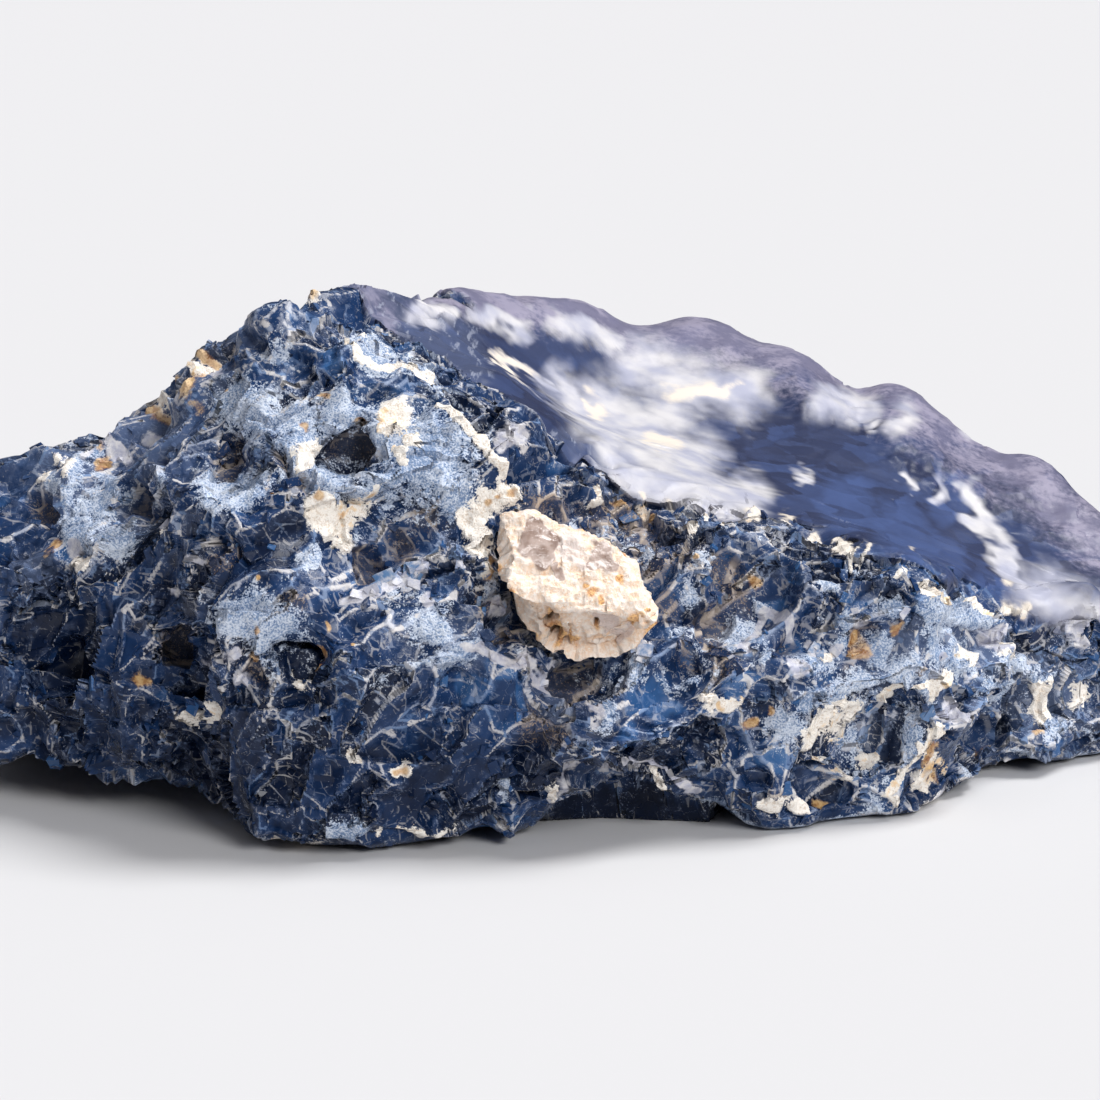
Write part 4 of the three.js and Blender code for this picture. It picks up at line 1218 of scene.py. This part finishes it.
def quartz_matrix():
    """Cream quartz matrix: crumbly and peach-white, ochre below its ledge, with smoky quartz windows."""
    s = Shader("quartz_matrix")
    place = s.millimetres()
    window, ochre, crystal = s.attribute("marks")
    lower, hole, milky = s.attribute("form")
    fine = s.noise(place, 0.5, 4.0, 0.6)
    grit = s.noise(place, 0.12, 2.0, 0.6)
    drift = s.noise(place, 1.6, 2.0)
    wobble = s.centred(fine)
    cream = s.mix(s.ease(fine, 0.36, 0.62), CREAMS[0], CREAMS[1])
    cream = s.mix(s.ease(grit, 0.50, 0.70), cream, CREAMS[2])
    below = s.mix(s.ease(fine, 0.36, 0.60), *LOWER_CREAMS)
    colour = s.mix(s.times(lower, s.ease(s.add(drift, wobble), 0.30, 0.62), 0.9), cream, below)
    colour = s.mix(s.times(s.ease(s.add(milky, wobble), -0.1, 0.4), 0.6), colour, MILKY_CREAM)
    glass = s.ease(s.add(window, s.times(wobble, 0.5)), 0.0, 0.22)
    glass_colour = s.mix(s.ease(s.noise(place, 0.70, 2.0), 0.38, 0.62), *SMOKY_GLASS)
    colour = s.mix(s.times(glass, 0.92), colour, glass_colour)
    clear = s.ease(s.add(crystal, s.times(wobble, 0.5)), 0.0, 0.25)
    colour = s.mix(s.times(clear, 0.75), colour, CLEAR_GLASS)
    spots = s.ease(s.add(ochre, s.times(wobble, 1.6)), -0.1, 0.5)
    spot_colour = s.mix(s.ease(s.add(grit, wobble), 0.4, 0.65), *OCHRE_SPOTS)
    colour = s.mix(s.times(spots, 0.82), colour, spot_colour)
    # The holes are painted near-black: painted shade inside them.
    colour = s.mix(s.ease(s.add(hole, wobble), 0.0, 0.5), colour, HOLE_SHADE)
    rough = s.add(0.78, s.times(s.most(glass, clear), -0.62))
    rugged = s.math("SUBTRACT", 1.0, s.times(glass, 0.7))
    height = s.times(rugged, s.add(s.times(wobble, 0.16), s.times(s.centred(grit), 0.05)))
    return s.finished({"Base Color": colour, "Roughness": rough, "IOR": QUARTZ_IOR}, height)


def dress(made, material, *nodes):
    """Gives a piece its material, and lets it ride on the stone in place of the CAD nodes."""
    made.data.materials.append(material)
    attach(made, "root")
    if nodes:
        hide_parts(*nodes)


shape, skin, outward, skin_marks, marks = stone_skin()
blue_stone = chalcedony()
pieces = make_stone(shape, skin, marks)
pieces += [make_splinters(skin, outward, skin_marks, marks), make_crystals(skin, outward, skin_marks, marks)]
for piece in pieces:
    dress(piece, blue_stone, *(["agate"] if piece == pieces[0] else []))
lump = make_lump()
dress(lump, quartz_matrix(), "matrix_lump")


# How the surround's strength runs with height: from, to, strength there and there.
SURROUND = (0.0, 0.85, 0.02, 0.31)
SURROUND_COLOUR = (0.92, 0.92, 1.0, 1)

# The floor reaches this far each way, in millimetres.
FLOOR_REACH = 3000.0
FLOOR_COLOUR = (0.664, 0.660, 0.666)

# Each light: its strength, its angle in degrees, and the way it shines.
LIGHTS = {"sky_light": (2.75, 26, (-0.46, -0.14, -1.0)), "front_light": (1.9, 26, (-0.42, 0.69, -0.52))}


def make_floor():
    """A plain pale floor that reaches past the picture on every side."""
    corners = np.array([(-1, -1, 0), (1, -1, 0), (1, 1, 0), (-1, 1, 0)]) * FLOOR_REACH
    floor = mesh_object("floor", corners, [(0, 1, 2, 3)])
    finish = {"Base Color": FLOOR_COLOUR, "Roughness": 0.9, "Specular IOR Level": 0.2}
    floor.data.materials.append(Shader("floor").finished(finish))


def make_sun(name, strength, angle, direction):
    """A distant light of a strength, angle in degrees and direction."""
    data = bpy.data.lights.new(name, "SUN")
    data.energy = strength
    data.angle = math.radians(angle)
    light = bpy.data.objects.new(name, data)
    turn_to(light, direction)
    bpy.context.collection.objects.link(light)


def turn_to(made, direction):
    """Turns an object's -Z to a direction, with its Y up."""
    back = -np.array(direction, float)
    back /= np.linalg.norm(back)
    right = np.cross([0, 0, 1.0], back)
    right /= np.linalg.norm(right)
    up = np.cross(back, right)
    made.rotation_mode = "QUATERNION"
    made.rotation_quaternion = Matrix(np.stack([right, up, back], axis=1).tolist()).to_quaternion()


def make_surround():
    """A white surround that is bright overhead and dim near the horizon, as under a softbox."""
    world = bpy.data.worlds.new("surround")
    world.use_nodes = True
    tree = world.node_tree
    background = tree.nodes["Background"]
    background.inputs[0].default_value = SURROUND_COLOUR
    height = tree.nodes.new("ShaderNodeSeparateXYZ")
    tree.links.new(tree.nodes.new("ShaderNodeTexCoord").outputs["Generated"], height.inputs[0])
    share = tree.nodes.new("ShaderNodeMapRange")
    tree.links.new(height.outputs[2], share.inputs[0])
    for socket, value in zip(list(share.inputs)[1:5], SURROUND):
        socket.default_value = value
    tree.links.new(share.outputs[0], background.inputs[1])
    bpy.context.scene.world = world


def make_light_and_camera():
    """Soft light from overhead on the right, a weaker one in front, a pale surround, and the camera."""
    for name, (strength, angle, direction) in LIGHTS.items():
        make_sun(name, strength, angle, direction)
    make_surround()
    camera = bpy.data.objects.new("camera", bpy.data.cameras.new("camera"))
    camera.data.sensor_width = SENSOR_WIDTH
    camera.data.lens = SENSOR_WIDTH * CAMERA_DISTANCE / PICTURE_WIDTH
    camera.data.clip_start = 0.01
    camera.location = EYE * MM
    turn_to(camera, AHEAD)
    bpy.context.collection.objects.link(camera)
    bpy.context.scene.camera = camera
    bpy.context.scene.view_settings.view_transform = "Standard"


make_floor()
make_light_and_camera()
